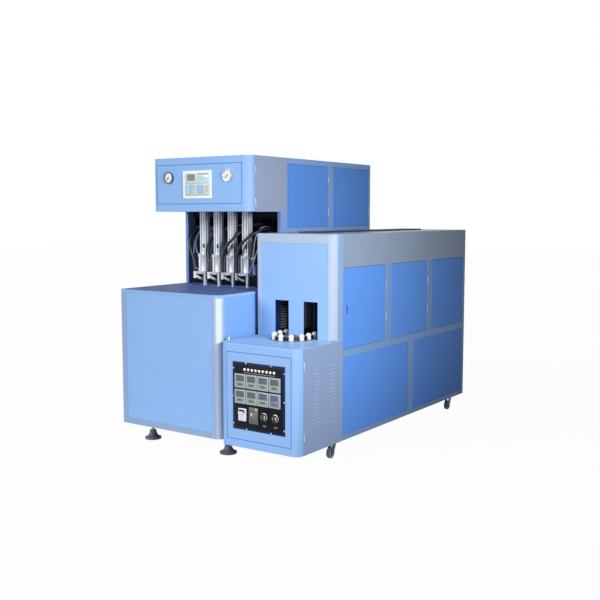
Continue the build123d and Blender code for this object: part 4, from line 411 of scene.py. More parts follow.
# Levelling feet. Cast-iron bells on rubber pads, painted grey; each turns on a threaded
# zinc-plated stem that a hexagon nut locks under the frame.
FOOT_PLACES = ((144, 140, 0), (144, 1768, 0), (822, 140, 0), (822, 1768, 0))
FOOT_THREAD = (48, 106)
PITCH = 3.2
# Painted cast iron: a dull grey-blue coat over a sandy casting, darker in its pits.
cast_paint = surface("painted_cast_iron", "#6a6f7c", "#525763", 11, 0.52, grain=1.6, depth=0.2,
                     dust="#8d8f92", dust_share=0.5)
dress(cast_paint, "levelling_feet")
thread_rings = []
for step in range(int((FOOT_THREAD[1] - FOOT_THREAD[0]) / PITCH)):
    height = FOOT_THREAD[0] + step * PITCH
    thread_rings += [(10.1, height), (10.9, height + 0.4 * PITCH), (10.9, height + 0.6 * PITCH)]
stem = turned("stem", thread_rings, FOOT_PLACES[0], sides=24)


def numbered(name, first, moves, material, body="machine", smooth=32):
    """A piece and its copies as numbered pieces; a star in the body's name takes the number."""
    for i, move in enumerate(moves):
        piece = again(first, move) if i else first
        piece.name = f"{name}_{i + 1}"
        fit(piece, material, body.replace("*", str(i + 1)), smooth)


numbered("foot_thread", stem, moves_to(FOOT_PLACES), zinc_plate, smooth=20)

# Operator panel. A pale moulded plastic rim holds a grey-green foil with a dark display,
# a pale readout field, blue and grey key pads and a column of yellow keys.
PANEL_LOW = (296, 1669)
PANEL_HIGH = (551, 1857)
PANEL_SIZE = (PANEL_HIGH[0] - PANEL_LOW[0], PANEL_HIGH[1] - PANEL_LOW[1])
PANEL_FACE = 311
PANEL_SINK = 1.6
AHEAD = (0, -1, 0)


def block(name, low, high, rounding, steps=2):
    """A block between two corners in mm, with its edges rounded."""
    low, high = at(*low), at(*high)
    bpy.ops.mesh.primitive_cube_add(size=1, location=(low + high) / 2, scale=high - low)
    piece = settle(bpy.context.object)
    piece.name = name
    bpy.ops.object.mode_set(mode="EDIT")
    bpy.ops.mesh.select_all(action="SELECT")
    bpy.ops.mesh.bevel(offset=rounding / 1000, segments=steps, affect="EDGES")
    bpy.ops.object.mode_set(mode="OBJECT")
    return piece


def sink(piece, *steps):
    """Steps the front face inwards: (rim, depth) in mm for each step, depth 0 for a flat rim."""
    only(piece)
    bpy.ops.object.mode_set(mode="EDIT")
    bpy.ops.mesh.select_mode(type="FACE")
    bpy.ops.mesh.select_all(action="DESELECT")
    shape = bmesh.from_edit_mesh(piece.data)
    facing = [face for face in shape.faces if face.normal.dot(Vector(AHEAD)) > 0.99]
    widest = max(facing, key=lambda face: face.calc_area())
    widest.select_set(True)
    bmesh.update_edit_mesh(piece.data)
    for rim, depth in steps:
        bpy.ops.mesh.inset(thickness=rim / 1000, depth=-depth / 1000)
    bpy.ops.object.mode_set(mode="OBJECT")
    return piece


def key_pad(name, left, top, right, bottom, proud, rounding):
    """A raised key or window on the foil, between two corners given as shares of the panel."""
    x0, x1 = [PANEL_LOW[0] + share * PANEL_SIZE[0] for share in (left, right)]
    z0, z1 = [PANEL_HIGH[1] - share * PANEL_SIZE[1] for share in (bottom, top)]
    face = PANEL_FACE + PANEL_SINK
    return block(name, (x0, face - proud, z0), (x1, face + 0.6, z1), rounding)


def key_grid(name, left, top, right, bottom, columns, rows, gap=0.014, proud=1.6):
    """Rows of like keys in one field of the panel."""
    wide = (right - left - (columns - 1) * gap) / columns
    tall = (bottom - top - (rows - 1) * gap) / rows
    key = key_pad(name, left, top, left + wide, top + tall, proud, 0.7)
    across, down = (wide + gap) * PANEL_SIZE[0], (tall + gap) * PANEL_SIZE[1]
    moves = [(column * across, 0, -row * down) for row in range(rows) for column in range(columns)]
    return repeated(name, key, moves)


# Moulded ABS: pale cyan-white with a fine spark-eroded grain.
rim_plastic = surface("moulded_pale_abs", "#f3fafb", "#e8f3f6", 60, 0.42, grain=0.9, depth=0.05)
# Printed polyester foil: matt grey-green, a little mottled by the print behind it.
foil_print = surface("printed_polyester_foil", "#cfd9d6", "#bfcdca", 36, 0.36, grain=0.6)
# Display glass: grey-green and glossy.
display_glass = surface("display_glass", "#7d8c90", "#65757b", 22, 0.12, grain=30, depth=0.01, coat=0.6)
pale_window = surface("pale_lit_window", "#c6e4ea", "#aed3de", 24, 0.2, grain=20, depth=0.01, coat=0.4)
blue_keys, pale_keys, yellow_keys = [
    surface(f"{name}_membrane_keys", light, dark, 12, 0.4, grain=1.2, depth=0.04)
    for name, light, dark in (("blue", "#9cc3de", "#86b0d2"), ("pale", "#b5d4dc", "#a1c3d0"),
                              ("yellow", "#c9cb9f", "#bbbc8e"))]
grey_print = surface("grey_foil_print", "#8e9aa0", "#7d8990", 8, 0.4, grain=1.2, depth=0.03)

panel_rim = block("operator_panel_rim", (PANEL_LOW[0], PANEL_FACE, PANEL_LOW[1]),
                  (PANEL_HIGH[0], 318, PANEL_HIGH[1]), 2.0, 3)
sink(panel_rim, (13, 0), (0.6, PANEL_SINK))
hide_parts("head_instruments")
display = key_pad("operator_display", 0.16, 0.12, 0.43, 0.35, 2.0, 0.8)
sink(display, (3, 0), (0.5, 1.0))
for piece, material in (
        (panel_rim, rim_plastic),
        (key_pad("operator_panel_foil", 0.065, 0.085, 0.935, 0.915, 0.3, 0.2), foil_print),
        (display, display_glass),
        (key_pad("operator_readout_window", 0.52, 0.17, 0.90, 0.36, 1.2, 0.6), pale_window),
        (key_pad("operator_readout_bar", 0.52, 0.10, 0.90, 0.14, 1.0, 0.5), grey_print),
        (key_grid("pale_keys_left", 0.10, 0.51, 0.205, 0.80, 1, 3), pale_keys),
        (key_grid("blue_keys_left", 0.22, 0.51, 0.33, 0.80, 1, 3), blue_keys),
        (key_grid("pale_keys_middle", 0.345, 0.51, 0.44, 0.80, 1, 3), pale_keys),
        (key_grid("blue_keys_right", 0.51, 0.52, 0.74, 0.81, 2, 3), blue_keys),
        (key_grid("yellow_keys", 0.805, 0.53, 0.89, 0.77, 1, 3), yellow_keys),
        (key_grid("label_strips_upper", 0.12, 0.425, 0.88, 0.45, 9, 1, 0.03, 0.7), grey_print),
        (key_grid("label_strips_lower", 0.12, 0.845, 0.88, 0.87, 7, 1, 0.04, 0.7), grey_print)):
    fit(piece, material, "head_door")

# Pressure gauges. A pressed ring holds the glass over an enamelled white dial, with a
# scale of ticks and figures printed in black; the left ring is black, the right chromed.
GAUGE_RINGS = ((40.9, 3), (40.9, -9.5), (40.2, -11.2), (38.6, -12), (36.6, -11.7), (35.4, -10.2),
               (35.1, -4.8))
DIAL_RINGS = ((35.2, 0), (35.2, 1.0), (34.8, 1.2))
DIAL_FACE = 310.0
SCALE_START = 135
SCALE_SWEEP = 270
SCALE_STEPS = 40
SCALE_NUMBERS = ("0", "4", "8", "12", "16")
NUMBER_RADIUS = 19.5
# Baked dial enamel: flat white.
dial_white = surface("baked_white_enamel", "#f2f3f0", "#e6e8e6", 20, 0.45, depth=0.01)
dial_black = surface("printed_black_ink", "#20242a", "#15181c", 5, 0.5, depth=0.05)
black_ring = surface("black_painted_ring", "#3a4048", "#24282e", 12, 0.3, coat=0.3)
# Chromed brass: a bright mirror, only slightly hazed.
chrome = surface("chromed_brass", "#e8ecf0", "#ccd2d8", 18, 0.14, grain=3.0, depth=0.01, metal=1.0)
needle_red = surface("red_needle_enamel", "#a8424a", "#93363f", 4, 0.4, depth=0.05)
dress(needle_red, "gauge_needle_1", "gauge_needle_2")


def on_circle(x, y, radius, angle):
    """A point on a circle, its angle in degrees."""
    return x + radius * cos(radians(angle)), y + radius * sin(radians(angle))


def figure(text, height, place):
    """A printed figure that looks to the front, its middle at a place in mm."""
    bpy.ops.object.text_add(location=at(*place), rotation=(pi / 2, 0, 0))
    words = bpy.context.object
    words.data.body = text
    words.data.size = height / 1000
    words.data.align_x = "CENTER"
    words.data.align_y = "CENTER"
    words.data.extrude = 0.0002
    only(words)
    bpy.ops.object.convert(target="MESH")
    return settle(bpy.context.object)


for i, (x, z, ring_finish) in enumerate(((164, 1815, black_ring), (692, 1820, chrome))):
    ring = turned(f"gauge_ring_{i + 1}", GAUGE_RINGS, (x, 317, z), (0, 1, 0), 48)
    fit(ring, ring_finish, "head_door")
    dial = turned(f"gauge_dial_{i + 1}", DIAL_RINGS, (x, DIAL_FACE + 1.2, z), AHEAD, 48)
    fit(dial, dial_white, "head_door")
    long_tick, short_tick = [block("tick", (x - half, DIAL_FACE - 0.4, z + inner),
                                   (x + half, DIAL_FACE + 0.3, z + 32), 0.1, 1)
                             for half, inner in ((0.6, 25.5), (0.35, 28.5))]
    marks = []
    for step in range(SCALE_STEPS + 1):
        angle = SCALE_START - step * SCALE_SWEEP / SCALE_STEPS
        marks.append(again(short_tick if step % 10 else long_tick, turn=-angle, about=(x, DIAL_FACE, z)))
    for spare in (long_tick, short_tick):
        bpy.data.objects.remove(spare)
    for step, number in enumerate(SCALE_NUMBERS):
        angle = SCALE_START + 90 - step * SCALE_SWEEP / 4
        number_x, number_z = on_circle(x, z, NUMBER_RADIUS, angle)
        marks.append(figure(number, 8.0, (number_x, DIAL_FACE - 0.2, number_z)))
    fit(gather(f"gauge_scale_{i + 1}", marks), dial_black, "head_door")

# Door seams. A pressed line runs round the front of both cabinet doors. Its shade is painted
# as a 5 mm wide deep blue strip, because the real 2 mm line would not show in a picture.
groove_shade_paint = surface("painted_groove_shade", "#5584c6", "#4b79bb", 40, 0.5, depth=0.05, gloss=0.1)


def seam(body, x, z, face):
    """Four strips round a door's front, a hair proud of its sheet."""
    spans = (((x[0] - 2, z[0] - 2), (x[1] + 2, z[0] + 3)), ((x[0] - 2, z[1] - 3), (x[1] + 2, z[1] + 2)),
             ((x[0] - 2, z[0] + 3), (x[0] + 3, z[1] - 3)), ((x[1] - 3, z[0] + 3), (x[1] + 2, z[1] - 3)))
    strips = [block("strip", (low[0], face - 0.25, low[1]), (high[0], face + 1.2, high[1]), 0.1, 1)
              for low, high in spans]
    fit(gather(f"{body}_seam", strips), groove_shade_paint, body)


seam("head_door", (48, 808), (1633, 1901), 317)
seam("control_door", (962, 1455), (165, 714), -39)

# Stretch cylinders. Extruded aluminium profile, clear anodised, with two slots on every
# side closed by black strips. Caps with socket screws end it, and a switch rides in front.
# The first station's pieces are made here and copied to the other three.
STATION_X = (242, 371, 500, 629)
STATION_Y = 600
STATION_MOVES = moves_to([(x, 0, 0) for x in STATION_X])
# Clear anodised aluminium: a soft grey-white metal drawn along its length.
anodised = surface("clear_anodised_aluminium", "#e4e6ee", "#d0d4df", 30, 0.42, grain=0.8, metal=0.35,
                   stretch=(1, 1, 0.06), gloss=0.4)
black_rubber = surface("black_slot_rubber", "#23262c", "#17191e", 10, 0.5, grain=1.2, depth=0.03)
black_plastic = surface("moulded_black_nylon", "#1d1f24", "#141519", 16, 0.42, grain=0.9, depth=0.05)
black_oxide = surface("black_oxide_screws", "#3c3e43", "#2b2d31", 5, 0.4, depth=0.05, metal=0.6)
dress(anodised, "stretch_cylinders")
x = STATION_X[0]
strips = []
for slot_x in (x - 12, x + 12):
    strip = block("strip", (slot_x - 2.7, 575.9, 1287), (slot_x + 2.7, 577.9, 1580), 0.4, 1)
    strips += [again(strip, turn=90 * side, about=(x, STATION_Y, 0), axis="Z") for side in range(4)]
    bpy.data.objects.remove(strip)
end_cap = block("cap", (x - 26, 574, 1273.2), (x + 26, 626, 1286), 1.2)
switch = block("switch", (x + 7, 567, 1322), (x + 17, 576.5, 1352), 1.6)
cap_screws = pan_screws("screws", [(x + dx, 573.9, 1279.5) for dx in (-18, 18)], AHEAD, 3.6, 10)
numbered("profile_slot_strips", gather("strips", strips), STATION_MOVES, black_rubber)
numbered("cylinder_end_cap", end_cap, STATION_MOVES, anodised)
numbered("cylinder_switch", switch, STATION_MOVES, black_plastic)
numbered("cap_screws", cap_screws, STATION_MOVES, black_oxide)

# Seal cylinders. Cast aluminium flanges clamp a tube between four sleeved tie rods with
# domed nuts, on two square legs; brass plugs close their ports.
# Cast and painted aluminium: lilac-grey, slightly sandy.
cast_aluminium = surface("cast_aluminium", "#c8ccd8", "#b0b5c6", 18, 0.5, grain=1.4, depth=0.08, metal=0.3,
                         gloss=0.35)
brass = surface("turned_brass", "#c9bf9c", "#b0a57f", 8, 0.28, grain=0.7, metal=1.0)
dress(cast_aluminium, "seal_cylinders")
ROD = (x - 28, STATION_Y - 28)
ROD_MOVES = [(dx, dy, 0) for dx in (0, 56) for dy in (0, 56)]
NUT_RINGS = ((6.6, 0), (6.6, 4.5), (5.4, 5.4), (5.0, 6.6), (3.4, 8.6), (1.2, 9.3))
SLEEVE_RINGS = ((6, 1153.2), (7.8, 1154), (7.8, 1254), (6, 1254.8))
PLUG_RINGS = ((6.5, -1), (6.5, 4), (5.8, 5), (4.2, 5.2), (4.0, 8.5), (3.2, 9.2))
PLUG_PLACES = ((x + 24, 550, 1144), (x + 20, 563, 1264))
BARREL_RINGS = ((31.2, 1153.2), (31.8, 1154), (31.8, 1160), (31.2, 1161), (31.2, 1247), (31.8, 1248),
                (31.8, 1254), (31.2, 1254.8))
upper_nuts = repeated("nuts", turned("nut", NUT_RINGS, (*ROD, 1273), sides=12), ROD_MOVES)
lower_nuts = repeated("nuts", turned("nut", NUT_RINGS[:3], (*ROD, 1135), (0, 0, -1), 6), ROD_MOVES)
sleeves = repeated("sleeves", turned("sleeve", SLEEVE_RINGS, (*ROD, 0), sides=14), ROD_MOVES)
plugs = repeated("plugs", turned("plug", PLUG_RINGS, PLUG_PLACES[0], AHEAD, 12), moves_to(PLUG_PLACES))
barrel = turned("barrel", BARREL_RINGS, (x, STATION_Y, 0), sides=36)
numbered("tie_rod_nuts", gather("nuts", [upper_nuts, lower_nuts]), STATION_MOVES, zinc_plate)
numbered("tie_rod_sleeves", sleeves, STATION_MOVES, anodised)
numbered("brass_plugs", plugs, STATION_MOVES, brass)
numbered("seal_barrel", barrel, STATION_MOVES, anodised)

# Blow nozzles and stretch rods. Blackened steel holders with a rubber sealing ring; a
# brass nut and a white nylon elbow bring the air in. The rods are ground and chromed.
blackened = surface("blackened_steel", "#3e4148", "#2c2e34", 12, 0.36, grain=0.8, depth=0.03, metal=0.7)
white_nylon = surface("moulded_white_nylon", "#efeee8", "#dedcd2", 25, 0.4, depth=0.03)
ground_steel = surface("ground_chromed_rod", "#c9ced6", "#b4bac4", 20, 0.22, grain=0.6, depth=0.01, metal=1.0,
                       stretch=(1, 1, 0.1))
dress(blackened, *[f"blow_nozzle_{i + 1}" for i in range(4)])
dress(ground_steel, *[f"stretch_rod_{i + 1}" for i in range(4)])
ELBOW = (-56, -50)
COLLAR_RINGS = ((8.3, 1103), (10.5, 1103.5), (10.5, 1122), (12.2, 1124), (12.2, 1130), (10.2, 1132),
                (10.2, 1141), (12.6, 1143), (12.6, 1151.6), (10.4, 1152))
SEAL_RINGS = ((16, 1074.4), (18.3, 1075.6), (18.3, 1078), (17.4, 1080), (18.3, 1082), (18.3, 1084.6),
              (16, 1085.4))
collar = turned("collar", COLLAR_RINGS, (x + ELBOW[0], STATION_Y + ELBOW[1], 0), sides=20)
root = Vector((x + 0.34 * ELBOW[0], STATION_Y + 0.34 * ELBOW[1], 1098))
slope = Vector((x + ELBOW[0], STATION_Y + ELBOW[1], 1122)) - root
ARM_RINGS = ((8, -3), (9.6, -1), (9.6, 8), (10.8, 9), (10.8, 16), (9.6, 17), (9.6, slope.length),
             (4, slope.length + 5))
arm = turned("arm", ARM_RINGS, root, slope.normalized(), 20)
seal_ring = turned("ring", SEAL_RINGS, (x, STATION_Y, 0))
gland = turned("nut", ((22.2, 1086), (23.6, 1087), (23.6, 1098), (22.2, 1099)), (x, STATION_Y, 0), sides=6)
elbow = gather("elbow", [collar, arm])
numbered("nozzle_elbow", elbow, STATION_MOVES, white_nylon, "blow_nozzle_*")
numbered("nozzle_seal_ring", seal_ring, STATION_MOVES, black_rubber, "blow_nozzle_*")
numbered("nozzle_clamp_nut", gland, STATION_MOVES, brass, "blow_nozzle_*")

# Air filter. A die-cast head on a bent bracket holds a smoke-blue bowl with a white drain
# cap; a ribbed black knob sets the pressure.
FILTER_PLACE = (702, 588, 0)
BOWL_RINGS = ((9, 1157), (13, 1158.5), (14.7, 1162), (14.7, 1204), (16.6, 1206), (16.6, 1215))
DRAIN_RINGS = ((6, 1148), (9.5, 1148.8), (9.5, 1155), (8, 1158.5))
KNOB_RINGS = ((14.4, 1255), (14.4, 1259), (15, 1260), (15, 1280), (14.2, 1283), (11, 1284.6), (4, 1285))
bowl_plastic = surface("smoke_blue_polycarbonate", "#8fa9cf", "#7d97c0", 20, 0.14, grain=20, depth=0.01,
                       coat=0.4)
filter_head = sink(block("filter_head", (682, 568, 1215), (722, 608, 1255), 3, 3), (7, 0), (0.8, 1.5))
fit(filter_head, blackened)
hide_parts("filter_regulator")
fit(turned("filter_bowl", BOWL_RINGS, FILTER_PLACE, sides=28), bowl_plastic)
fit(turned("filter_drain_cap", DRAIN_RINGS, FILTER_PLACE, sides=20), white_nylon)
fit(turned("filter_knob", KNOB_RINGS, FILTER_PLACE, sides=16), black_plastic, smooth=20)
leaves = [block("leaf", (666, 574, 1255), high, 0.8) for high in ((716, 602, 1259), (670, 602, 1273))]
fit(gather("filter_bracket", leaves), zinc_plate)

# Valve panel. Sheet and manifold in a near-black navy, painted shade for the dark inside of
# the tower; eight valves under black coils with their plugs, and a brass collar on each hose port.
VALVE_PITCH = 58.75
VALVE_X = [350 + (i + 0.5) * VALVE_PITCH for i in range(8)]
PORT_PLACES = [(x, 1052, 1425) for x in (390, 480, 690, 780)]
FITTING_PLACES = [(x, 1070, 1425) for x in (435, 540, 600, 735)]
PORT_RINGS = ((12.9, -14), (15.4, -13), (15.4, -4), (13.6, -3), (13.6, 0.5), (10.5, 1.2))
FITTING_RINGS = ((7, -1), (7, 6), (5.4, 7), (5.4, 14), (4, 15))
dress(surface("navy_painted_shade_sheet", "#1b2234", "#141a29", 60, 0.5, depth=0.05, gloss=0.2), "valve_panel")
coil = block("coil", (VALVE_X[0] - 12, 1077, 1474), (VALVE_X[0] + 12, 1113, 1509), 2)
plug = block("plug", (VALVE_X[0] - 9, 1070, 1480), (VALVE_X[0] + 9, 1078, 1502), 1.5)
coil_moves = moves_to([(x, 0, 0) for x in VALVE_X])
numbered("valve_coil", gather("coil", [coil, plug]), coil_moves, black_plastic)
port = turned("port", PORT_RINGS, PORT_PLACES[0], AHEAD, 12)
numbered("hose_port_collar", port, moves_to(PORT_PLACES), brass)
fitting = turned("fitting", FITTING_RINGS, FITTING_PLACES[0], AHEAD, 12)
fit(repeated("manifold_fittings", fitting, moves_to(FITTING_PLACES)), brass)

# Control air lines. Thin pale polyurethane tubes, 6 mm across, run from the outer seal
# cylinders and the filter to push-in fittings on the manifold.
line_tube = surface("pale_polyurethane_tube", "#d3d8e0", "#bcc3ce", 12, 0.3, grain=3.0, coat=0.2)
AIR_LINES = (
    ((204, 622, 1264), (150, 640, 1262), (112, 650, 1300), (104, 660, 1385), (112, 705, 1460),
     (300, 900, 1475), (435, 1057, 1425)),
    ((204, 622, 1144), (140, 640, 1150), (92, 648, 1200), (86, 655, 1335), (96, 695, 1445),
     (300, 920, 1465), (540, 1057, 1425)),
    ((702, 566, 1236), (704, 552, 1240), (709, 572, 1295), (709, 580, 1385), (700, 645, 1475),
     (640, 900, 1480), (600, 1057, 1425)),
    ((665, 572, 1144), (690, 560, 1180), (716, 560, 1232), (727, 575, 1295), (724, 645, 1390),
     (735, 1057, 1425)),
)
LINE_RADIUS = 0.003
for i, places in enumerate(AIR_LINES):
    line = put(f"control_air_line_{i + 1}", soft_line([at(*place) for place in places], LINE_RADIUS))
    fit(line, line_tube)

# Moulds and clamp. Ground aluminium inserts on steel platens, held by socket screws; the
# clamp is painted cast iron with ground tie bars.
ground_aluminium = surface("ground_aluminium", "#aab0ba", "#969ca8", 40, 0.3, grain=0.7, metal=0.9,
                           stretch=(0.1, 1, 1))
clamp_paint = surface("grey_machine_paint", "#7f8da6", "#717f99", 60, 0.42, grain=3.0, depth=0.03,
                      dust="#a7a9ab", dust_share=0.4)
dress(ground_aluminium, "mould_front", "mould_rear")
dress(clamp_paint, "mould_clamp")
PLATEN_SCREWS = [(x + dx, z) for x in STATION_X for dx in (-40, 40) for z in (740, 960)]
CLAMP_SCREWS = [on_circle((STATION_X[0] + STATION_X[-1]) / 2, 875, 44, angle) for angle in range(0, 360, 60)]
for name, body, spots, face, out in (("mould_front_screws", "mould_front", PLATEN_SCREWS, 480, -1),
                                     ("mould_rear_screws", "mould_rear", PLATEN_SCREWS, 720, 1),
                                     ("clamp_cylinder_screws_front", "machine", CLAMP_SCREWS, 120, -1),
                                     ("clamp_cylinder_screws_rear", "machine", CLAMP_SCREWS, 1080, 1)):
    screws = pan_screws(name, [(x, face, z) for x, z in spots], (0, out, 0), 6, 12)
    fit(screws, black_oxide, body)

# Hinge pins. Turned steel barrels that stand between the halves of every cabinet hinge.
# Their pale paint is painted highlight, bright though they sit in the leaves' shade.
TOWER_HINGE_Z = (1577.5, 1802.5)
OVEN_HINGE_Z = (867, 1082)
HINGES = (((875.3, 376.3), (1642, 1854)), ((875.3, 1258), TOWER_HINGE_Z), ((875.3, 1850), TOWER_HINGE_Z),
          ((1510.3, 1001.7), OVEN_HINGE_Z), ((1510.3, 1631.3), OVEN_HINGE_Z), ((1510.3, 2261), OVEN_HINGE_Z),
          ((1510.3, 17.3), (230, 660)))
PIN_RINGS = ((3, -26), (4.0, -25), (4.0, -23.2), (4.1, -23), (4.1, 23), (4.0, 23.2), (4.0, 25), (3, 26))
PIN_PLACES = [(*spot, z) for spot, heights in HINGES for z in heights]
hinge_highlight_paint = surface("hinge_barrel_painted_highlight", "#c6d5ec", "#b6c6e0", 12, 0.4, depth=0.05, gloss=0.2)
pin = turned("pin", PIN_RINGS, PIN_PLACES[0], sides=14)
fit(repeated("hinge_pins", pin, moves_to(PIN_PLACES)), hinge_highlight_paint)

# First heater door's pull. A moulded black nylon cup latch with a thumb tongue, set in
# the door's recess.
latch = block("latch", (1500, 496, 930), (1503.5, 516, 988), 1.2)
tongue = block("tongue", (1502, 499, 938), (1508.5, 504, 980), 1.8)
fit(gather("heater_door_pull", [latch, tongue]), black_plastic, "heater_door_1")

# Instrument plate. Black anodised aluminium with a navy edge, screwed to the control
# door; eight meters in pale frames, a breaker, a switch plate and two knobs sit on it.
PLATE_X = (1012, 1411)
PLATE_Z = (232, 656)
PLATE_FACE = -42
PLATE_RIM = 15
METER_X = 1032
METER_TOP = 583
METER_MOVES = [(88 * column, 0, -98 * row) for row in range(2) for column in range(4)]


def on_plate(across, down):
    """A point of the plate, from shares of its width and height off its top left corner."""
    return PLATE_X[0] + across * (PLATE_X[1] - PLATE_X[0]), PLATE_Z[1] - down * (PLATE_Z[1] - PLATE_Z[0])


# Black anodising: nearly black with a faint brown-blue bloom, satin.
plate_black = surface("black_anodised_plate", "#101116", "#0b0c11", 70, 0.5, gloss=0.12)
navy_edge = surface("navy_sprayed_edge", "#10244c", "#0c1d40", 40, 0.45, depth=0.05, gloss=0.15)
# Moulded grey ABS frames with a warm tinge; windows of tinted acrylic over printed scales.
meter_frame = surface("moulded_grey_abs", "#aeb0bb", "#9fa1ad", 30, 0.42, grain=0.9, depth=0.04)
meter_window = surface("tinted_acrylic", "#637274", "#4f5d60", 26, 0.16, grain=20, depth=0.01, coat=0.3)
meter_strip = surface("pale_green_print", "#93ac9b", "#819a89", 16, 0.35)
meter_patch = surface("green_display", "#56775f", "#41604b", 10, 0.25)
blue_dial = surface("blue_grey_dial", "#7b88a8", "#5c6a8c", 22, 0.25)
dark_bar = surface("dark_scale_print", "#3c4845", "#2e3937", 8, 0.4, depth=0.05)
edge = block("instrument_plate_edge", (PLATE_X[0], -41.6, PLATE_Z[0]), (PLATE_X[1], -39, PLATE_Z[1]), 0.8)
fit(edge, navy_edge, "control_door")
plate = block("instrument_plate", (PLATE_X[0] + PLATE_RIM, PLATE_FACE, PLATE_Z[0] + PLATE_RIM),
              (PLATE_X[1] - PLATE_RIM, -39.5, PLATE_Z[1] - PLATE_RIM), 0.5)
fit(plate, plate_black, "control_door")
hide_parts("instrument_panel")


def on_meter(name, left, low, near, right, high, far, rounding, steps=2):
    """A block on the first meter, placed from the meter's top left corner."""
    return block(name, (METER_X + left, near, METER_TOP + low), (METER_X + right, far, METER_TOP + high),
                 rounding, steps)


bars = [on_meter("bar", 15, low, -49.8, right, low + 3, -49.2, 0.2, 1)
        for low, right in ((-16, 69), (-24, 60), (-32, 69), (-40, 60))]
housing = sink(on_meter("frame", 0, -88, -50, 84, 0, PLATE_FACE, 1.6), (7, 0), (0.8, 2.2))
for name, piece, material, last_material in (
        ("meter_frame", housing, meter_frame, meter_frame),
        ("meter_window", on_meter("window", 9, -47, -49.4, 75, -9, -47.5, 0.5), meter_window, blue_dial),
        ("meter_strip", on_meter("strip", 9, -79, -49.0, 75, -49, -47.5, 0.4), meter_strip, blue_dial),
        ("meter_patch", on_meter("patch", 22, -72, -49.6, 62, -58, -48.4, 0.4), meter_patch, meter_window),
        ("meter_bars", gather("bars", bars), dark_bar, navy_edge)):
    numbered(name, piece, METER_MOVES, material, "control_door")
    bpy.data.objects[f"{name}_8"].data.materials[0] = last_material

# A row of nine white pilot lamps over a thin pale line, where the real plate has a title.
pilot_white = surface("white_pilot_lens", "#f2f3ef", "#dfe2df", 8, 0.2, grain=6.0, coat=0.4)
left_x, lamp_z = on_plate(0.235, 0.105)
right_x, line_z = on_plate(0.80, 0.150)
PILOT_RINGS = ((9.0, -0.5), (9.0, 1.2), (7.8, 2.0), (7.8, 3.4), (6.4, 5.2), (3.4, 6.4), (0.8, 6.8))
pilot = turned("pilot", PILOT_RINGS, (left_x, PLATE_FACE, lamp_z), AHEAD, 16)
pilots = repeated("pilot_lamps", pilot, [((right_x - left_x) * k / 8, 0, 0) for k in range(9)])
fit(pilots, pilot_white, "control_door")
pilot_line = block("pilot_line", (left_x - 6, PLATE_FACE - 0.5, line_z - 1.2),
                   (right_x + 8, PLATE_FACE + 0.2, line_z + 1.2), 0.2)
fit(pilot_line, meter_frame, "control_door")

# Main breaker: white moulded thermoset with a navy window over the lever's slot. The
# switch plate is ribbed olive-grey laminate with two bright screws.
breaker_white = surface("moulded_white_thermoset", "#e9ecf2", "#d8dce4", 24, 0.36, depth=0.04)
olive_laminate = surface("olive_grey_laminate", "#6f7472", "#5a5f5c", 26, 0.44, grain=2.0, depth=0.05)
dress(breaker_white, "breaker_toggle")
breaker = block("main_breaker", (1064, -56, 290), (1120, PLATE_FACE, 368), 2.4, 3)
mark = block("mark", (1075, -56.5, 300), (1106, -55.8, 302), 0.3, 1)
marks = repeated("breaker_marks", mark, [(0, 0, rise) for rise in (0, 9, 18, 26)])
switch = block("switch_plate", (1142, -48, 280), (1211, PLATE_FACE, 381), 1.6)
rib = block("rib", (1147, -49.4, 286), (1206, -47.6, 289), 0.5, 1)
ribs = repeated("switch_plate_ribs", rib, [(0, 0, rise) for rise in (0, 10, 20, 70, 80)])
for piece, material, slot in (
        (breaker, breaker_white, "panel_plastic"),
        (block("breaker_window", (1070, -57, 342), (1114, -55.5, 361), 1.0), navy_edge, "black_panel"),
        (marks, meter_frame, "panel_plastic"), (switch, olive_laminate, "black_panel"),
        (ribs, dark_bar, "black_panel"),
        (pan_screws("switch_plate_screw", [(1198, -48, 368)], AHEAD, 8, 16), zinc_plate, "zinc"),
        (pan_screws("switch_plate_brass_screw", [(1162, -48, 336)], AHEAD, 8, 16), zinc_plate, "zinc")):
    fit(piece, material, "control_door")

# Knobs: black phenolic, each with a silver skirt ring and a silver-faced grip bar, and a
# small grey label plate beneath it.
phenolic = surface("black_phenolic", "#26272d", "#1a1b20", 18, 0.26, coat=0.3)
satin_silver = surface("satin_aluminium_foil", "#d5d8dd", "#c0c4cb", 12, 0.3, grain=0.6, metal=0.5,
                       stretch=(0.2, 1, 1))
dress(phenolic, "panel_knob_1", "panel_knob_2")
KNOB_PLACES = ((1254, PLATE_FACE, 333), (1340, PLATE_FACE, 334))
knob_moves = moves_to(KNOB_PLACES)
x, y, z = KNOB_PLACES[0]
skirt = turned("skirt", ((24.5, 0), (24.5, 1.6), (23, 2.6), (21.6, 2.8)), (x, y, z), AHEAD, 36)
grip = block("grip", (x - 3.6, y - 22.2, z - 18.5), (x + 3.6, y - 21.2, z + 18.5), 0.4)
disc = turned("disc", ((15.5, 9.5), (15.5, 10.6), (14, 11.2)), (x, y - 0.3, z), AHEAD, 28)
label = block("label", (x - 9, y - 0.8, z - 62), (x + 15, y + 0.4, z - 52), 0.4)
numbered("knob_skirt", skirt, knob_moves, satin_silver, "control_door")
numbered("knob_face", gather("face", [grip, disc]), knob_moves, satin_silver, "panel_knob_*")
numbered("knob_label", label, knob_moves, olive_laminate, "control_door")
EDGE_SHARES = ((0.26, 0.013), (0.74, 0.013), (0.27, 0.987), (0.74, 0.987), (0.013, 0.10), (0.013, 0.51),
               (0.013, 0.92), (0.987, 0.10), (0.987, 0.51), (0.987, 0.92))
edge_screws = [(x, -41.6, z) for x, z in (on_plate(*share) for share in EDGE_SHARES)]
plate_screws = pan_screws("instrument_plate_screws", edge_screws, AHEAD, 4.6, 12)
fit(plate_screws, zinc_plate, "control_door")

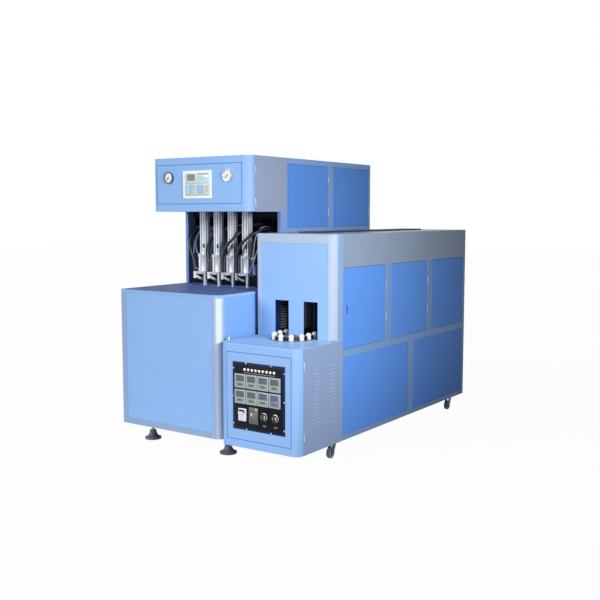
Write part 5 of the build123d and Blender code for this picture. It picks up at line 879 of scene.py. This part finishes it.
# Deck and carrier loop. A steel deck with a raised track; black links join 62 turned
# white acetal holders, which two scalloped wheels pull round.
WHEEL_Y = 305
REAR_WHEEL_Y = 2104.7
LANE_MID = 1211
LANE_X = 112
LANE_HOLDERS = 26
WHEEL_HOLDERS = 5
WHEEL_STEP = 180 / WHEEL_HOLDERS
LINK_PITCH = 2 * LANE_X * sin(radians(WHEEL_STEP / 2))
deck_steel = surface("bead_blasted_deck_steel", "#8392ad", "#6f7e99", 46, 0.42, grain=1.2, depth=0.05,
                     metal=0.4)
chain_steel = surface("blackened_chain_steel", "#2b2e35", "#1d2026", 14, 0.38, grain=0.8, depth=0.03,
                      metal=0.6)
acetal = surface("turned_white_acetal", "#f4f5f2", "#e6e8e4", 22, 0.34, grain=0.8)
dress(deck_steel, "carrier_deck")
dress(chain_steel, "carrier_chain")
HOLDER_RINGS = ((13.6, 771.2), (15.5, 772.6), (15.5, 784), (14.2, 786), (14.2, 794), (18, 796), (18, 804),
                (12.5, 805.5), (12.5, 811), (10.5, 812))
holder_places = [(x, WHEEL_Y + (i + 0.5) * LINK_PITCH)
                 for i in range(LANE_HOLDERS) for x in (LANE_MID - LANE_X, LANE_MID + LANE_X)]
for centre_y, start in ((REAR_WHEEL_Y, 0), (WHEEL_Y, 180)):
    holder_places += [on_circle(LANE_MID, centre_y, LANE_X, start + (i + 0.5) * WHEEL_STEP)
                      for i in range(WHEEL_HOLDERS)]
holder = turned("holder", HOLDER_RINGS, (*holder_places[0], 0), sides=16)
holders = repeated("turned_preform_holders", holder, moves_to([(x, y, 0) for x, y in holder_places]))
fit(holders, acetal)
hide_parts("preform_holders")

# Scalloped wheels. Grey cast nylon plates on a steel hub, held by four socket screws
# round a zinc cap.
grey_nylon = surface("cast_grey_nylon", "#7d8798", "#6b7586", 40, 0.4, grain=1.6, depth=0.04)
HUB_CAP_RINGS = ((12, 793.2), (12, 795.5), (10.5, 797), (4, 797.6))
for name, centre_y in (("star_wheel_front", WHEEL_Y), ("star_wheel_rear", REAR_WHEEL_Y)):
    dress(grey_nylon, name)
    places = [(*on_circle(LANE_MID, centre_y, 22, angle), 793.5) for angle in (45, 135, 225, 315)]
    fit(pan_screws(f"{name}_screws", places, (0, 0, 1), 4.5, 12), black_oxide, name)
    cap = turned(f"{name}_hub_cap", HUB_CAP_RINGS, (LANE_MID, centre_y, 0), sides=24)
    fit(cap, zinc_plate, name)

# Gear motor. Grey-painted cast iron under the rear wheel, with cooling rings round the
# motor and a black plastic terminal box.
dress(clamp_paint, "drive_motor")
FIN_RINGS = ((62.2, 500), (64.5, 500.6), (64.5, 502.4), (62.2, 503))
FIN_MOVES = [(0, 0, 9 * k) for k in range(15)]
fin = turned("fin", FIN_RINGS, (LANE_MID, REAR_WHEEL_Y, 0), sides=40)
fit(repeated("motor_cooling_rings", fin, FIN_MOVES), clamp_paint)
terminal_box = block("motor_terminal_box", (LANE_MID - 92, REAR_WHEEL_Y - 26, 560),
                     (LANE_MID - 60, REAR_WHEEL_Y + 26, 640), 3)
fit(terminal_box, black_plastic)

# Infrared lamps. Quartz tubes with white ceramic ends in nine rows, in front of
# polished aluminium reflectors; black brackets hold each group.
quartz = surface("clear_quartz_tube", "#aeb4ba", "#8f969d", 12, 0.12, grain=12, depth=0.01, coat=0.5)
ceramic = surface("white_steatite", "#e8e5dc", "#d6d2c6", 10, 0.5, depth=0.04)
reflector = surface("polished_aluminium_sheet", "#8c929b", "#757b84", 50, 0.2, grain=9.0, depth=0.03,
                    metal=0.9)
LAMP_X = 62
LAMP_LOW = 834
LAMP_MOVES = [(0, 0, 21 * row) for row in range(9)]
CAP_LENGTH = 20
REFLECTOR_X = 50
BRACKET_X = 73
SHEET = 3
LAMP_SPANS = ((472, 988.7), (1101.7, 1618.3), (1731.3, 1972.7))
for span, (y0, y1) in enumerate(LAMP_SPANS):
    for side in (-1, 1):
        tag = f"{span + 1}_{'left' if side < 0 else 'right'}"
        place = (LANE_MID + side * LAMP_X, 0, LAMP_LOW)
        cap = y0 + SHEET
        cap_rings = ((3.2, cap), (5.5, cap + 1), (5.5, cap + CAP_LENGTH - 1), (3.2, cap + CAP_LENGTH))
        tube = turned("tube", ((5.4, y0 + 22), (5.4, y1 - 22)), place, (0, 1, 0), 10)
        end = turned("end", cap_rings, place, (0, 1, 0), 8)
        ends = repeated("ends", end, [(0, 0, 0), (0, y1 - y0 - CAP_LENGTH - 2 * SHEET, 0)])
        fit(repeated(f"lamp_tubes_{tag}", tube, LAMP_MOVES), quartz)
        fit(repeated(f"lamp_ends_{tag}", ends, LAMP_MOVES), ceramic)
        back = LANE_MID + side * REFLECTOR_X
        near, far = sorted((back, back - side * SHEET))
        mirror = block(f"lamp_reflector_{tag}", (near, y0, 769.5), (far, y1, 1039), 0.6)
        fit(mirror, reflector)
        near, far = sorted((back, LANE_MID + side * BRACKET_X))
        bracket = block("bracket", (near, y0, 823.5), (far, y0 + SHEET, 1038.8), 0.5)
        brackets = repeated(f"lamp_brackets_{tag}", bracket, [(0, 0, 0), (0, y1 - y0 - SHEET, 0)])
        fit(brackets, black_plastic)
        if tag == "1_left":
            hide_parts("lamp_racks")

# Heat shields. Ribbed aluminium on a black sheet stands along the left lane, with a navy
# sheet that closes its front end; a black sheet with three ribs ends the lamp row.
SHIELD_X = LANE_MID - 203
RIB_PITCH = 17.4
rib_metal = surface("ribbed_aluminium_shield", "#b3b1ac", "#98968f", 30, 0.35, grain=2.0, depth=0.03,
                    metal=0.3)
navy_shield = surface("navy_enamelled_shield", "#416ec6", "#3862b8", 60, 0.45, depth=0.05, gloss=0.2)
grey_steel = surface("grey_blued_steel", "#565b60", "#44494e", 12, 0.4, depth=0.03, metal=0.3)
rib = turned("rib", ((2, 468), (4.6, 470), (4.6, 1970), (2, 1972)), (SHIELD_X + 3.5, 0, 812), (0, 1, 0), 8)
lane_shield = block("lane_shield", (SHIELD_X - 1.5, 468, 771.2), (SHIELD_X + 1.5, 1972, 1039), 0.4, 1)
front_shield = block("front_shield", (LANE_MID - 292, 466, 771.2), (SHIELD_X + 1.5, 468, 1039), 0.4, 1)
end_rib = block("rib", (1217, 464, 825), (1227, 469, 1038), 0.8, 1)
end_shield = block("lamp_end_shield", (1124, 468.5, 824), (1298, 472, 1038.8), 0.4, 1)
fit(lane_shield, blackened)
fit(repeated("lane_shield_ribs", rib, [(0, 0, RIB_PITCH * k) for k in range(13)]), rib_metal)
fit(front_shield, navy_shield)
fit(end_shield, blackened)
fit(repeated("lamp_end_ribs", end_rib, [(dx, 0, 0) for dx in (0, 25, 58)]), grey_steel)

# Louvre lips. The louvres are pressed out of the control box's side sheet. Their lips are
# painted pale: painted highlight where they catch the light.
lip_highlight_paint = surface("louvre_lip_painted_highlight", "#b4c4de", "#a8b9d6", 60, 0.4, depth=0.05, gloss=0.15)
LOUVRE_PITCH = 23.6
LIP_MOVES = [(0, 0, LOUVRE_PITCH * k) for k in range(16)]
lips = [repeated("lips", block("lip", (1507.4, y0, 268.4), (1510.2, y1, 271.2), 0.6, 1), LIP_MOVES)
        for y0, y1 in ((111, 186), (290, 372))]
fit(gather("louvre_lips", lips), lip_highlight_paint)

# Hot-air hoods on the roof and the casters. Black-sprayed sheet; the casters have
# black-lacquered forks, zinc axle bolts and rubber tyres on grey nylon hubs.
vent_black = surface("black_sprayed_sheet", "#1f2127", "#16181d", 60, 0.45, grain=3.0, dust="#6f737a",
                     dust_share=0.35)
fork_lacquer = surface("black_lacquered_steel", "#3a434d", "#29313a", 14, 0.36, grain=1.2, depth=0.03,
                       metal=0.3)
tyre_rubber = surface("grey_tyre_rubber", "#67798c", "#54667a", 9, 0.6, depth=0.06)
hub_nylon = surface("moulded_grey_hub", "#aab4be", "#95a0ab", 14, 0.42, depth=0.04)
dress(vent_black, "top_vents")
dress(fork_lacquer, "caster_mounts", "caster_fork_front_left", "caster_fork_front_right")
WHEEL_R = 36
TYRE_RINGS = ((25.5, -9), (31, -11.6), (34, -11), (35.6, -8), (WHEEL_R, -4), (WHEEL_R, 4), (35.6, 8),
              (34, 11), (31, 11.6), (25.5, 9))
HUB_RINGS = ((6, -11.9), (11, -11.9), (12.5, -9.5), (22, -8), (26, -10), (26, 10), (22, 8), (12.5, 9.5),
             (11, 11.9), (6, 11.9))
AXLE_RINGS = ((6.6, -15.4), (6.6, -12.2), (4, -12), (4, 12), (6.6, 12.2), (6.6, 15.4))
for end, y in (("front", 418), ("rear", 2152)):
    for side, x in (("left", 970), ("right", 1440)):
        carrier = f"caster_wheel_{end}_{side}"
        for part, rings, sides, material, slot in (("tyre", TYRE_RINGS, 40, tyre_rubber, "wheel_rubber"),
                                                   ("hub", HUB_RINGS, 32, hub_nylon, "wheel_rubber"),
                                                   ("axle", AXLE_RINGS, 6, zinc_plate, "zinc")):
            piece = turned(f"caster_{part}_{end}_{side}", rings, (x, y, WHEEL_R), (1, 0, 0), sides)
            fit(piece, material, carrier)
            if part == "tyre":
                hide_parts(carrier)

# Small knob. Bright turned metal, standing on the control box's top near its left front
# corner.
TOP_KNOB_RINGS = ((9, 768.5), (9, 770), (6, 771.5), (5, 776), (8.5, 779), (10, 783), (9, 787), (5, 789))
fit(turned("box_top_knob", TOP_KNOB_RINGS, (917, 40, 0), sides=24), zinc_plate)
